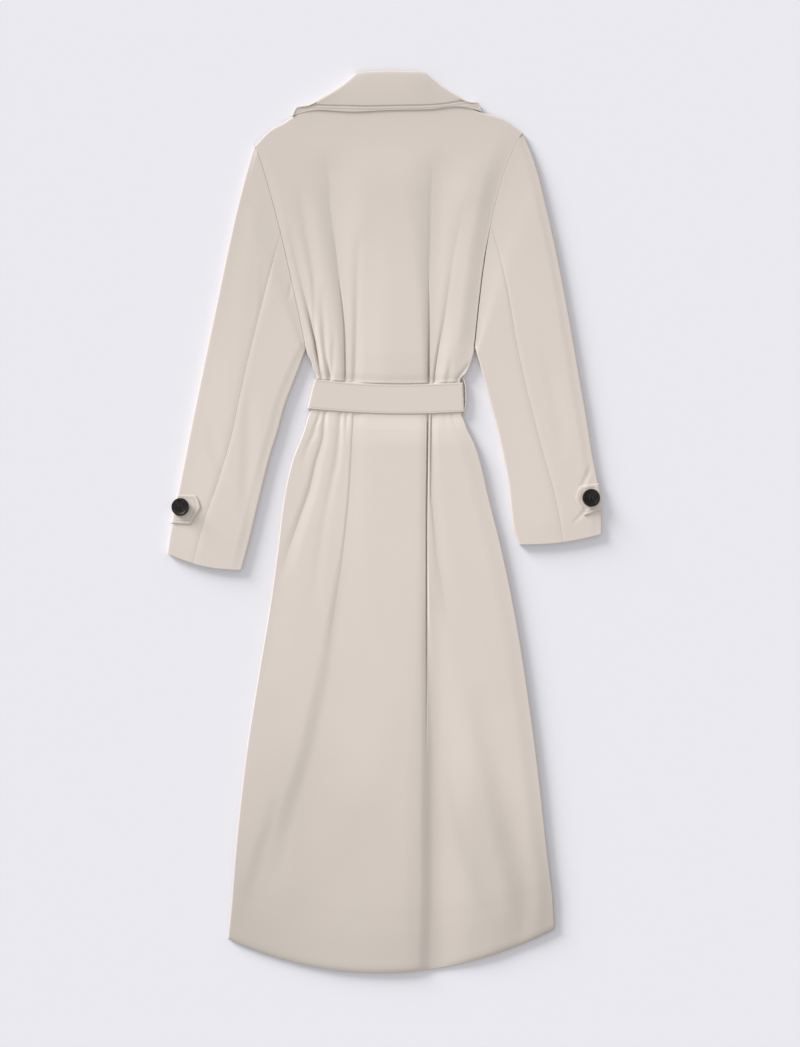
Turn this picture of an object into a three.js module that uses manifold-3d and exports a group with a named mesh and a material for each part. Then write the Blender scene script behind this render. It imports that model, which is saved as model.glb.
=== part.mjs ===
// A trench coat that lies on its front, back upwards, sleeves down beside the body.
//
// Frame: millimetres, +Z up from the surface that the coat lies on, +Y towards the collar and
// +X towards the right sleeve.  The origin is on that surface, in the middle of the outline.
//
// Each cut piece of cloth is one closed wall: an outer surface, an inner surface and a thin
// edge face all round.  A piece that lies on another is made from the other's points, moved out.

import * as THREE from 'three';
import { mergeVertices } from 'three/addons/utils/BufferGeometryUtils.js';
import Module from 'manifold-3d';

const wasm = await Module();
wasm.setup();

// ---- Driving dimensions (mm) -------------------------------------------------------------

const GAP = 0.3;
const CURVED_SEAM_GAP = 0.5;
const CLOTH = 2.4;
const PRESSED_CLOTH = 1.6;
const COLLAR_CLOTH = 1.8;
const BELT_CLOTH = 1.4;
const BELT_WIDTH = 42;
const SLEEVE_HEIGHT = 8.8;
const SLEEVE_LEAST_HOLLOW = 1.2;
const SLEEVE_FOLD_START = 12;
const FORE_SEAM = 20;
const WAVE_SKEW = 0.7;
const ARMHOLE_HEIGHT = 7.0;
const LAP_LIFT = 0.7;
const SIDE_ROLL = 6;

const LAP_LEFT = -36;
const LAP_RIGHT = 54;
const NECK_LEFT = -64;
const NECK_RIGHT = 82;
const CENTRE_X = 9;

// The hem sags below its ends, most at the middle, and the sag dies away upwards.
const HEM_SAG = 56;
const HEM_LEVEL = -593;
const HEM_BLEND_LEVEL = -190;
const HEM_SAG_FADE = 1.4;

// The shoulders and the neckline rise above the tips of the shoulders; the rise dies away down.
const TOP_LEVEL = 550;
const TOP_BLEND_LEVEL = 340;
const TOP_RISE_FADE = 1.5;
const TOP_LINE_SHIFT = 60;

const ARMPIT_LEVEL = 250;
const BELT_LEVEL = 178;
const BELT_PRESS_START = 4;
const BELT_PRESS_END = 15;
const BELT_CURVE_START = 30;
const BELT_CURVE_END = 70;
const NECKLINE_LEVEL = 541;
const NECKLINE_BLEND_LEVEL = 508;

// Where the fronts step up over the collar's leaves, and where the collar presses the back flat.
const COLLAR_LEAF_BOTTOM = 462;
const COLLAR_LEAF_COVERED = 482;
const YOKE_PRESS_START = 500;
const YOKE_PRESS_END = 545;

// ---- Tables ------------------------------------------------------------------------------

// Gives each row of a table its column names.
function table(columns, rows) {
  return rows.map((row) => Object.fromEntries(columns.map((name, index) => [name, row[index]])));
}

// The body from hem to shoulder: a row for each section.  skew is how much higher the right
// edge of the section lies than its left edge, height is the top of the back above the surface,
// and back and front are the walls of the back and of the fronts, thinner where they are pressed.
const BODY_SECTIONS = table(['y', 'skew', 'left', 'right', 'height', 'back', 'front'], [
  [-593, 14, -225, 245, 7.4, CLOTH, CLOTH],
  [-545, 8, -220, 242.5, 8.4, CLOTH, CLOTH],
  [-472, 0, -214, 234, 8.7, CLOTH, CLOTH],
  [-343, 0, -200, 219.5, 8.7, CLOTH, CLOTH],
  [-213, 0, -180, 201.5, 8.7, CLOTH, CLOTH],
  [-127, 0, -165.5, 187, 8.7, CLOTH, CLOTH],
  [-40, 0, -153.5, 169, 8.7, CLOTH, CLOTH],
  [36, 0, -144, 150, 8.7, CLOTH, CLOTH],
  [89, 0, -132, 137.5, 8.7, CLOTH, CLOTH],
  [114, 0, -122, 129, 8.7, CLOTH, CLOTH],
  [132, 0, -114, 119.5, 8.6, CLOTH, CLOTH],
  [143, 0, -110.5, 115.5, 7.6, PRESSED_CLOTH, PRESSED_CLOTH],
  [153, 0, -106.5, 111.2, 7.1, PRESSED_CLOTH, PRESSED_CLOTH],
  [178, 0, -102, 109.7, 7.1, PRESSED_CLOTH, PRESSED_CLOTH],
  [203, 0, -98, 109.2, 7.1, PRESSED_CLOTH, PRESSED_CLOTH],
  [213, 0, -102, 118, 7.6, PRESSED_CLOTH, PRESSED_CLOTH],
  [226, 0, -105, 124, 8.1, CLOTH, COLLAR_CLOTH],
  [250, 1.6, -112.4, 129.4, 8.2, CLOTH, COLLAR_CLOTH],
  [455, 12, 0, 0, 8.2, CLOTH, COLLAR_CLOTH],
  [482, 14, 0, 0, 8.1, COLLAR_CLOTH, COLLAR_CLOTH],
  [550, 18, 0, 0, 8.1, COLLAR_CLOTH, COLLAR_CLOTH],
]);

// The armholes: tip of the shoulder, bottom of the armhole and how far the seam curves inwards.
const ARMHOLES = {
  left: { tipX: -186.5, tipY: 541, pitX: -113, pitY: 249.2, bow: 5.5 },
  right: { tipX: 199.5, tipY: 559, pitX: 130, pitY: 250.8, bow: -17 },
};

// The shoulders and the neckline: how high each place lies above the line between the tips of
// the shoulders.  across runs from 0 at the left tip to 1 at the right one.
const SHOULDER_RISE = table(['across', 'back', 'front'], [
  [0, 0, 0],
  [0.06, 22, 22],
  [0.14, 37.4, 37.4],
  [0.317, 66, 66],
  [0.36, 60, 44],
  [0.42, 57, 16],
  [0.507, 56, 5],
  [0.62, 57, 14],
  [0.66, 59, 42],
  [0.696, 61, 61],
  [0.835, 34.5, 34.5],
  [0.92, 23, 23],
  [1, 0, 0],
]);

// Lines that run down the back along its deepest folds.  Its columns of points follow them.
const LINE_LEFT = table(['y', 'x'], [
  [614, NECK_LEFT],
  [540, -76],
  [406, -75],
  [330, -62],
  [284, -56],
  [202, -56],
  [160, -58],
  [130, -67],
  [89, -73],
  [29, -78],
  [-120, -92],
  [-345, -128],
  [-640, -168],
]);
const LINE_MIDDLE = table(['y', 'x'], [
  [614, -30],
  [540, -36],
  [390, -38],
  [230, -42],
  [158, -45],
  [45, -53],
  [-73, -65],
  [-177, -80],
  [-317, -104],
  [-640, -134],
]);
const LINE_RIGHT = table(['y', 'x'], [
  [614, NECK_RIGHT],
  [540, 68],
  [333, 64.5],
  [202, 63.5],
  [155, 63],
  [29, 61],
  [-163, 60],
  [-343, 60],
  [-533, 57],
  [-640, 58],
]);

// Folds of the back.  path has a row for each place along the crest: y, x, rise.  left and
// right are how far the cloth takes to come down again on each side of the crest.
const BACK_FOLDS = [
  {
    left: 10,
    right: 12,
    path: [
      [406, -120, 0],
      [330, -106, 2.5],
      [240, -90, 3.4],
      [212, -86, 3],
    ],
  },
  {
    left: 9,
    right: 9,
    path: [
      [330, -75, 0],
      [280, -69, 2.2],
      [212, -67, 2.6],
    ],
  },
  {
    left: 7,
    right: 9,
    path: [
      [380, -55, 0],
      [320, -51, 3],
      [212, -49.5, 3.6],
    ],
  },
  {
    left: 26,
    right: 5,
    path: [
      [540, 58, 0],
      [420, 60, 1.4],
      [330, 60.5, 2.4],
      [212, 60, 3],
    ],
  },
  {
    left: 5,
    right: 12,
    path: [
      [400, 84, 0],
      [330, 77, 2],
      [240, 70, 3.4],
      [212, 68, 3],
    ],
  },
  {
    left: 13,
    right: 14,
    path: [
      [340, 100, 0],
      [260, 93, 2.4],
      [212, 88, 2.4],
    ],
  },
  {
    left: 26,
    right: 34,
    path: [
      [560, -42, 0.6],
      [420, -40, 1.6],
      [330, -30, 1],
    ],
  },
  {
    left: 30,
    right: 26,
    path: [
      [560, 108, 0.5],
      [470, 112, 1.8],
      [380, 112, 0.8],
    ],
  },
  {
    left: 10,
    right: 9,
    path: [
      [146, -84, 2.6],
      [105, -92, 2.6],
      [60, -108, 2],
      [20, -122, 1],
      [-10, -133, 0],
    ],
  },
  {
    left: 9,
    right: 7,
    path: [
      [146, -52, 3],
      [110, -57, 3],
      [60, -62, 2.4],
      [10, -66, 1.4],
      [-40, -70, 0],
    ],
  },
  {
    left: 28,
    right: 7,
    path: [
      [146, -47, 2.6],
      [100, -51, 3.2],
      [40, -56, 3.6],
      [-20, -62, 3.8],
      [-121, -74, 3.8],
      [-180, -84, 3.6],
      [-246, -97, 3.3],
      [-317, -112, 2.9],
      [-366, -124, 2.2],
      [-418, -138, 1.3],
      [-474, -147, 0],
    ],
  },
  {
    left: 34,
    right: 6,
    path: [
      [146, 60, 3],
      [88, 59.5, 4.2],
      [29, 58.5, 4.8],
      [-53, 57.5, 4.8],
      [-163, 57, 4.6],
      [-256, 56, 4.2],
      [-343, 56, 3.8],
      [-464, 54, 3.4],
      [-533, 52, 3.2],
      [-640, 54, 3],
    ],
  },
  {
    left: 12,
    right: 18,
    path: [
      [-230, 80, 0],
      [-360, 80, 1.6],
      [-500, 82, 2.6],
      [-640, 82, 2.8],
    ],
  },
  {
    left: 12,
    right: 14,
    path: [
      [146, 88, 2.4],
      [100, 92, 2.2],
      [40, 100, 1.2],
      [0, 106, 0],
    ],
  },
  {
    left: 18,
    right: 16,
    path: [
      [-300, 124, 0],
      [-390, 148, 2],
      [-480, 170, 2.6],
      [-560, 172, 2.4],
      [-640, 168, 2],
    ],
  },
  {
    left: 14,
    right: 16,
    path: [
      [-400, -150, 0],
      [-470, -172, 2],
      [-540, -190, 2.2],
      [-640, -196, 1.6],
    ],
  },
  {
    left: 36,
    right: 40,
    path: [
      [-300, -20, 0],
      [-440, -24, 1.2],
      [-640, -30, 1.8],
    ],
  },
];

// Folds on the upper side of each sleeve, in the same columns.
const SLEEVE_FOLDS = {
  left: [
    {
      left: 14,
      right: 16,
      path: [
        [400, -178, 0],
        [300, -196, 1.6],
        [200, -224, 1.6],
        [90, -252, 0],
      ],
    },
    {
      left: 14,
      right: 12,
      path: [
        [330, -142, 0],
        [250, -158, 1.8],
        [150, -186, 1.8],
        [40, -210, 1],
        [-60, -226, 0],
      ],
    },
  ],
  right: [
    {
      left: 16,
      right: 14,
      path: [
        [420, 196, 0],
        [320, 208, 1.6],
        [200, 232, 1.8],
        [90, 256, 0],
      ],
    },
    {
      left: 12,
      right: 14,
      path: [
        [320, 156, 0],
        [240, 168, 1.8],
        [140, 190, 1.8],
        [40, 208, 1],
        [-20, 214, 0],
      ],
    },
  ],
};

// Sleeves: a row for each section from the armhole to the cuff.  The outer and inner ends are
// the edges of the flattened tube, seam is where the hind-arm seam crosses it.
const SLEEVE_COLUMNS = ['outerX', 'outerY', 'innerX', 'innerY', 'seam', 'bow', 'height'];
const SLEEVES = {
  left: {
    bowX: ARMHOLES.left.bow,
    cuffSag: -6.5,
    sections: table(SLEEVE_COLUMNS, [
      [-186.5, 541, -113, 249.2, 0.43, 1, ARMHOLE_HEIGHT],
      [-198, 502, -114.6, 245, 0.44, 0.8, 8.2],
      [-212, 448, -117, 238, 0.455, 0.55, SLEEVE_HEIGHT],
      [-226, 385, -120.5, 228, 0.455, 0.3, SLEEVE_HEIGHT],
      [-240, 318, -125.5, 214, 0.455, 0.1, SLEEVE_HEIGHT],
      [-254, 252, -132.5, 196, 0.45, 0, SLEEVE_HEIGHT],
      [-266, 194, -143, 168, 0.45, 0, SLEEVE_HEIGHT],
      [-277, 140, -154, 128, 0.48, 0, SLEEVE_HEIGHT],
      [-287, 89, -165.5, 91, 0.47, 0, SLEEVE_HEIGHT],
      [-296, 44, -177, 45, 0.44, 0, SLEEVE_HEIGHT],
      [-303, 8, -187, 3, 0.4, 0, 8.6],
      [-308.5, -20, -196.5, -36, 0.38, 0, 8.4],
      [-312, -45.5, -205.5, -69, 0.36, 0, 8.2],
    ]),
  },
  right: {
    bowX: ARMHOLES.right.bow,
    cuffSag: -4.5,
    sections: table(SLEEVE_COLUMNS, [
      [199.5, 559, 130, 250.8, 0.46, 1, ARMHOLE_HEIGHT],
      [217, 515, 131.6, 246, 0.5, 0.8, 8.2],
      [233, 453, 133.6, 239, 0.54, 0.55, SLEEVE_HEIGHT],
      [247, 391, 136.4, 230, 0.555, 0.3, SLEEVE_HEIGHT],
      [260, 324, 140.5, 215, 0.57, 0.1, SLEEVE_HEIGHT],
      [271.5, 261, 146.5, 193, 0.58, 0, SLEEVE_HEIGHT],
      [281, 205, 153.5, 166, 0.585, 0, SLEEVE_HEIGHT],
      [291, 148, 162.5, 133, 0.58, 0, SLEEVE_HEIGHT],
      [299, 97, 171.5, 92, 0.55, 0, SLEEVE_HEIGHT],
      [306.5, 58, 178.5, 54, 0.515, 0, SLEEVE_HEIGHT],
      [310.5, 28, 182, 20, 0.48, 0, 8.6],
      [312, 4, 186, -10, 0.46, 0, 8.4],
      [312, -17.5, 194, -32.5, 0.46, 0, 8.2],
    ]),
  },
};

// The collar fall: a row for each place round the neck, from the left front over the back to the
// right front.  turn is the way its cloth faces: 0 upwards on the back, 180 down on the front.
const COLLAR_SECTIONS = table(['rollX', 'rollY', 'edgeX', 'edgeY', 'neckX', 'neckY', 'turn'], [
  [3, 576, -70, 512, 3, 557.5, -180],
  [-9, 592, -88, 536, -14, 563, -180],
  [-22, 612, -106, 560, -32, 582, -180],
  [-32, 630, -119, 578, -49, 604, -180],
  [-37.5, 640.5, -125, 585, -57.5, 615.5, -180],
  [-37.5, 640.5, -125.6, 585, -58, 616, -135],
  [-37.5, 640.5, -125.8, 585, -58.5, 616.2, -90],
  [-37.5, 640.5, -125.6, 585, -58.5, 616.2, -45],
  [-37, 641, -124.5, 586, -58, 616.2, 0],
  [-28, 645.6, -96, 592, -46, 612.8, 0],
  [-10, 647.6, -44, 595.5, -22, 608.6, 0],
  [9, 648.2, 9, 597, 9, 607.5, 0],
  [28, 647.6, 62, 597.5, 40, 608.8, 0],
  [46, 645.8, 104, 596.5, 64, 611.6, 0],
  [55, 641.5, 130, 594.6, 75.5, 616.2, 0],
  [55.4, 641, 131.3, 594.2, 76, 616.2, 45],
  [55.4, 641, 131.5, 594.2, 76, 616.2, 90],
  [55.4, 641, 131.3, 594.2, 75.5, 616, 135],
  [55.4, 641, 130.5, 594, 75, 615.5, 180],
  [50, 630, 128, 583, 67, 604, 180],
  [40, 612, 120, 562, 50, 582, 180],
  [27, 592, 105, 537, 32, 563, 180],
  [15, 576, 88, 512, 15, 557.5, 180],
]);
const COLLAR_AXIS_Z = 5.1;
const COLLAR_OUTER = 5.1;
const COLLAR_INNER = COLLAR_OUTER - COLLAR_CLOTH;
const STAND_OUTER = 2.7;
const STAND_INNER = 1;
const COLLAR_PUFF = 1.1;
const COLLAR_SEAM_GAP = 1.2;
const COLLAR_CURL_DEGREES = [180, 120, 60];
const COLLAR_SHARES = [0.04, 0.3, 0.65, 1];

const BELT_LEFT = -105.5;
const BELT_RIGHT = 114;
const BELT_TOP = 8.8;
const BELT_LAP_START = -95;
const BELT_LAP_END = -70;
const BELT_STEP_START = -62;
const BELT_STEP_END = -44;
const BELT_FRONT_CELLS = 10;
const BELT_BACK_CELLS = 14;
const BELT_TURN_CELLS = 7;
const BELT_LEFT_TURN = Math.PI * 0.86;
const BELT_CENTRE_LEFT = 184;
const BELT_CENTRE_RIGHT = 179.5;
const BELT_DIP = 5;
const BELT_SLANT_LEFT = 3.6;
const BELT_SLANT_RIGHT = -1;

// Cuff tabs: a row for each place along the tab, from the end that is sewn in under the outer
// edge to the point.  along is the way round the sleeve from the top of its outer edge.
const TAB_COLUMNS = ['along', 'upper', 'lower'];
const CUFF_TABS = {
  left: table(TAB_COLUMNS, [
    [-8.6, 38, -2],
    [-6.8, 38.5, -2],
    [-4.8, 39, -1.6],
    [-2.5, 39, -1.5],
    [0, 39, -1.5],
    [6, 39, -1.3],
    [14, 38.8, -1.2],
    [21, 38.6, -1.2],
    [26, 33, 9],
    [31, 23.4, 21],
  ]),
  right: table(TAB_COLUMNS, [
    [-8.6, 56, 19],
    [-6.8, 56, 18.5],
    [-4.8, 56, 18],
    [-2.5, 55.6, 17.5],
    [0, 55, 17],
    [6, 54.2, 15.6],
    [14, 53.4, 13.6],
    [21, 52.6, 12.4],
    [26, 47, 20],
    [31, 35, 32.6],
  ]),
};
const TAB_CLOTH = 1.5;

const BUTTON_RADIUS = 12.8;
const BUTTON_HEIGHT = 3.6;
const BUTTON_SEAT = 9.5;
const BUTTON_HOLE_RADIUS = 1.1;
const BUTTON_HOLE_SPREAD = 2.6;
const BUTTON_SIDES = 24;
const BUTTON_PROFILE = table(['radius', 'height'], [
  [0, 0],
  [BUTTON_RADIUS - 2.2, 0],
  [BUTTON_RADIUS - 0.5, 0.9],
  [BUTTON_RADIUS, 2.1],
  [BUTTON_RADIUS - 0.9, BUTTON_HEIGHT],
  [BUTTON_RADIUS - 2.6, BUTTON_HEIGHT],
  [BUTTON_RADIUS - 4, 2.7],
  [0, 2.3],
]);
const BUTTONS = {
  left: { x: -291.6, y: 21.5, tilt: -9 },
  right: { x: 296.4, y: 34.5, tilt: 9 },
};

// ---- Materials ---------------------------------------------------------------------------

function clothMaterial(color) {
  return new THREE.MeshStandardMaterial({ color, roughness: 0.88, metalness: 0 });
}

function buttonMaterial() {
  return new THREE.MeshStandardMaterial({ color: 0x1c1917, roughness: 0.25, metalness: 0 });
}

const STONE = 0xd9cfc6;
const STONE_SHADE = 0xcfc4b8;

// ---- Curves and profiles -----------------------------------------------------------------

function clamp01(value) {
  return Math.min(1, Math.max(0, value));
}

function lerp(start, end, share) {
  return start + (end - start) * share;
}

// The ends of a stretch and the places that cut it into equal cells.
function spread(from, to, cells) {
  return Array.from({ length: cells + 1 }, (_, step) => lerp(from, to, step / Math.max(cells, 1)));
}

// 0 up to from, 1 from to onwards, with a soft start and end between them.
function smoothStep(from, to, value) {
  const share = clamp01((value - from) / (to - from));
  return share * share * (3 - 2 * share);
}

// Reads a column of a table at a place, on a smooth curve through the rows that never
// overshoots them.
function read(rows, key, column, place) {
  const step = rows[0][key] < rows[rows.length - 1][key] ? 1 : -1;
  const last = rows.length - 1;
  if ((place - rows[0][key]) * step <= 0) return rows[0][column];
  if ((place - rows[last][key]) * step >= 0) return rows[last][column];
  let index = 0;
  while ((place - rows[index + 1][key]) * step > 0) index += 1;
  const slope = (at) => {
    if (at <= 0 || at >= last) return null;
    const before = (rows[at][column] - rows[at - 1][column]) / (rows[at][key] - rows[at - 1][key]);
    const after = (rows[at + 1][column] - rows[at][column]) / (rows[at + 1][key] - rows[at][key]);
    return before * after <= 0 ? 0 : (2 * before * after) / (before + after);
  };
  const width = rows[index + 1][key] - rows[index][key];
  const chord = (rows[index + 1][column] - rows[index][column]) / width;
  const startSlope = (slope(index) ?? chord) * width;
  const endSlope = (slope(index + 1) ?? chord) * width;
  const share = (place - rows[index][key]) / width;
  const square = share * share;
  const cube = square * share;
  return (2 * cube - 3 * square + 1) * rows[index][column]
    + (cube - 2 * square + share) * startSlope
    + (3 * square - 2 * cube) * rows[index + 1][column]
    + (cube - square) * endSlope;
}

// Height that a list of folds adds at a place.
function foldRise(folds, x, y) {
  let rise = 0;
  for (const fold of folds) {
    const path = fold.rows;
    if (y <= path[0].y && y >= path[path.length - 1].y) {
      const offset = x - read(path, 'y', 'x', y);
      const reach = offset < 0 ? fold.left : fold.right;
      const share = Math.abs(offset) / reach;
      if (share < 1) rise += read(path, 'y', 'rise', y) * (1 - share * share) ** 2;
    }
  }
  return rise;
}

function withRows(folds) {
  return folds.map((fold) => ({ ...fold, rows: table(['y', 'x', 'rise'], fold.path) }));
}

const backFolds = withRows(BACK_FOLDS);
const sleeveFolds = { left: withRows(SLEEVE_FOLDS.left), right: withRows(SLEEVE_FOLDS.right) };

// ---- Walls -------------------------------------------------------------------------------

// Makes a closed wall from a grid of places.  Each place holds its outer and inner point.
function wallGeometry(grid) {
  const rows = grid.length;
  const columns = grid[0].length;
  const positions = [];
  for (const side of ['outer', 'inner']) {
    for (const row of grid) {
      for (const place of row) positions.push(place[side].x, place[side].y, place[side].z);
    }
  }
  const inner = rows * columns;
  const at = (row, column) => row * columns + column;
  const triangles = [];
  const quad = (a, b, c, d) => triangles.push(a, b, c, a, c, d);
  for (let row = 0; row < rows - 1; row += 1) {
    for (let column = 0; column < columns - 1; column += 1) {
      const a = at(row, column);
      const b = at(row, column + 1);
      const c = at(row + 1, column + 1);
      const d = at(row + 1, column);
      quad(a, b, c, d);
      quad(inner + a, inner + d, inner + c, inner + b);
    }
  }
  const rim = [];
  for (let column = 0; column < columns - 1; column += 1) rim.push(at(0, column));
  for (let row = 0; row < rows - 1; row += 1) rim.push(at(row, columns - 1));
  for (let column = columns - 1; column > 0; column -= 1) rim.push(at(rows - 1, column));
  for (let row = rows - 1; row > 0; row -= 1) rim.push(at(row, 0));
  rim.forEach((from, index) => {
    const to = rim[(index + 1) % rim.length];
    quad(to, from, inner + from, inner + to);
  });
  const geometry = new THREE.BufferGeometry();
  geometry.setAttribute('position', new THREE.Float32BufferAttribute(positions, 3));
  geometry.setIndex(volume(positions, triangles) < 0 ? turned(triangles) : triangles);
  return geometry;
}

function volume(positions, triangles) {
  let sum = 0;
  const corner = (index) => new THREE.Vector3().fromArray(positions, 3 * index);
  for (let at = 0; at < triangles.length; at += 3) {
    const [a, b, c] = [0, 1, 2].map((step) => corner(triangles[at + step]));
    sum += a.dot(b.cross(c)) / 6;
  }
  return sum;
}

function turned(triangles) {
  const result = [];
  for (let at = 0; at < triangles.length; at += 3) {
    result.push(triangles[at], triangles[at + 2], triangles[at + 1]);
  }
  return result;
}

function makePart(name, geometry, material) {
  geometry.computeVertexNormals();
  const mesh = new THREE.Mesh(geometry, material);
  mesh.name = name;
  return mesh;
}

// ---- Body: shared plan of the back and the fronts ----------------------------------------

function armholePoint(side, share) {
  const hole = ARMHOLES[side];
  const bow = hole.bow * Math.sin(Math.PI * clamp01(share) ** WAVE_SKEW);
  return { x: lerp(hole.tipX, hole.pitX, share) + bow, y: lerp(hole.tipY, hole.pitY, share) };
}

// Left or right edge of the body at a level: side edge below the armpit, armhole above it.
function bodyEdge(side, level) {
  const sign = side === 'left' ? -1 : 1;
  if (level <= ARMPIT_LEVEL) {
    const y = level + (sign * read(BODY_SECTIONS, 'y', 'skew', level)) / 2;
    return { x: read(BODY_SECTIONS, 'y', side, level), y };
  }
  const hole = ARMHOLES[side];
  const upwards = (level - ARMPIT_LEVEL) / (TOP_LEVEL - ARMPIT_LEVEL);
  const point = armholePoint(side, 1 - upwards);
  return { x: point.x - sign * CURVED_SEAM_GAP, y: lerp(hole.pitY, hole.tipY, upwards) };
}

// Puts a point of the body at a level and an x, following the curves of hem, shoulders and
// neckline.  neckX is where a front's neckline is read: past the centre it runs on level.
function bodyPoint(level, x, topColumn, neckX = x) {
  const left = bodyEdge('left', level);
  const right = bodyEdge('right', level);
  const across = clamp01((x - left.x) / (right.x - left.x));
  const neckAcross = clamp01((neckX - left.x) / (right.x - left.x));
  const hemShare = 1 - clamp01((level - HEM_LEVEL) / (HEM_BLEND_LEVEL - HEM_LEVEL));
  const topShare = clamp01((level - TOP_BLEND_LEVEL) / (TOP_LEVEL - TOP_BLEND_LEVEL));
  const sag = HEM_SAG * 4 * across * (1 - across) * hemShare ** HEM_SAG_FADE;
  const fromBelt = Math.abs(level - BELT_LEVEL);
  const besideBelt = 1 - smoothStep(BELT_CURVE_START, BELT_CURVE_END, fromBelt);
  const beltCurve = (beltCentreY(x) - BELT_LEVEL) * besideBelt;
  const rise = read(SHOULDER_RISE, 'across', topColumn, neckAcross) * topShare ** TOP_RISE_FADE;
  return { x, y: lerp(left.y, right.y, across) - sag + rise + beltCurve };
}

function beltCentreY(x) {
  const across = (x - BELT_LEFT) / (BELT_RIGHT - BELT_LEFT);
  const dip = BELT_DIP * Math.sin(Math.PI * clamp01(across));
  return lerp(BELT_CENTRE_LEFT, BELT_CENTRE_RIGHT, across) - dip;
}

// 1 where the belt lies, 0 well away from it.
function underBelt(level) {
  const besideBelt = Math.abs(level - BELT_LEVEL) - BELT_WIDTH / 2;
  return 1 - smoothStep(BELT_PRESS_START, BELT_PRESS_END, besideBelt);
}

function clothAt(level, piece) {
  return read(BODY_SECTIONS, 'y', piece, level);
}

// How far the fronts stand above the surface, over the belt and over the front of the collar.
function frontLift(level, x, y) {
  const overCollar = (COLLAR_CLOTH + GAP) * smoothStep(COLLAR_LEAF_BOTTOM, COLLAR_LEAF_COVERED, y);
  const overBeltEnd = 1 - smoothStep(BELT_STEP_START, BELT_STEP_END, x);
  return (BELT_CLOTH + GAP) * (1 + overBeltEnd) * underBelt(level) + overCollar;
}

const SKIRT_LEVELS = [
  HEM_LEVEL, -586, -565, -535, -500, -460, -420, -380, -340, -300, -260, -220, -180, -140, -100,
  -60, -20, 20, 54, 82, 104, 121, 133, 143, 153, 165,
];
const TORSO_LEVELS = [
  BELT_LEVEL, 191, 203, 213, 222, 234, ARMPIT_LEVEL, 264, 284, 308, 334, 362, 392, 424, 456, 484,
  508, 528, NECKLINE_LEVEL, 546.5, 549.2, TOP_LEVEL,
];
const BODY_LEVELS = [...SKIRT_LEVELS, ...TORSO_LEVELS];

// ---- Back --------------------------------------------------------------------------------

// Turns an offset from a rolled edge into the share of the quarter turn, 0 at the edge.
function rollAngle(offset) {
  return Math.acos(1 - clamp01(offset / SIDE_ROLL));
}

// Columns of the back: each row is a stop, measured from a side edge or from one of the lines,
// and how many cells lie between it and the stop before it.
const BACK_COLUMNS = table(['from', 'offset', 'cells'], [
  ['left', 0, 0],
  ['left', 0.8, 1],
  ['left', 3, 1],
  ['left', SIDE_ROLL, 1],
  ['lineLeft', -8, 3],
  ['lineLeft', 0, 1],
  ['lineLeft', 5, 1],
  ['lineMiddle', -5, 1],
  ['lineMiddle', 0, 1],
  ['lineMiddle', 8, 1],
  ['lineRight', -16, 4],
  ['lineRight', -5, 1],
  ['lineRight', 0, 1],
  ['lineRight', 4, 1],
  ['lineRight', 13, 1],
  ['right', -SIDE_ROLL, 3],
  ['right', -3, 1],
  ['right', -0.8, 1],
  ['right', 0, 1],
]);

function backGrid() {
  return BODY_LEVELS.map((level) => {
    const left = bodyEdge('left', level).x;
    const right = bodyEdge('right', level).x;
    const lineY = level + TOP_LINE_SHIFT * smoothStep(TOP_BLEND_LEVEL, TOP_LEVEL, level);
    const lines = {
      left,
      lineLeft: read(LINE_LEFT, 'y', 'x', lineY),
      lineMiddle: read(LINE_MIDDLE, 'y', 'x', lineY),
      lineRight: read(LINE_RIGHT, 'y', 'x', lineY),
      right,
    };
    const xs = [left];
    for (const { from, offset, cells } of BACK_COLUMNS) {
      xs.push(...spread(xs[xs.length - 1], lines[from] + offset, cells).slice(1));
    }
    return xs.map((x) => backPlace(level, x, left, right));
  });
}

// Where the back lies a little higher, over the two fronts that lap.
const LAP_RISE = { leftStart: -62, leftEnd: -42, rightStart: 60, rightEnd: 84 };
const ARMHOLE_PULL = 26;
const ARMHOLE_BLEND_START = 244;
const ARMHOLE_BLEND_END = 266;
const SHOULDER_LEAN_LEFT = -0.6;
const SHOULDER_LEAN_RIGHT = 0.5;

function relaxedHeight(level, x, y) {
  const fromLeft = smoothStep(LAP_RISE.leftStart, LAP_RISE.leftEnd, x);
  const fromRight = 1 - smoothStep(LAP_RISE.rightStart, LAP_RISE.rightEnd, x);
  const rise = LAP_LIFT * fromLeft * fromRight + foldRise(backFolds, x, y);
  const belowCollar = 1 - smoothStep(YOKE_PRESS_START, YOKE_PRESS_END, y);
  return read(BODY_SECTIONS, 'y', 'height', level) + rise * belowCollar;
}

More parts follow.
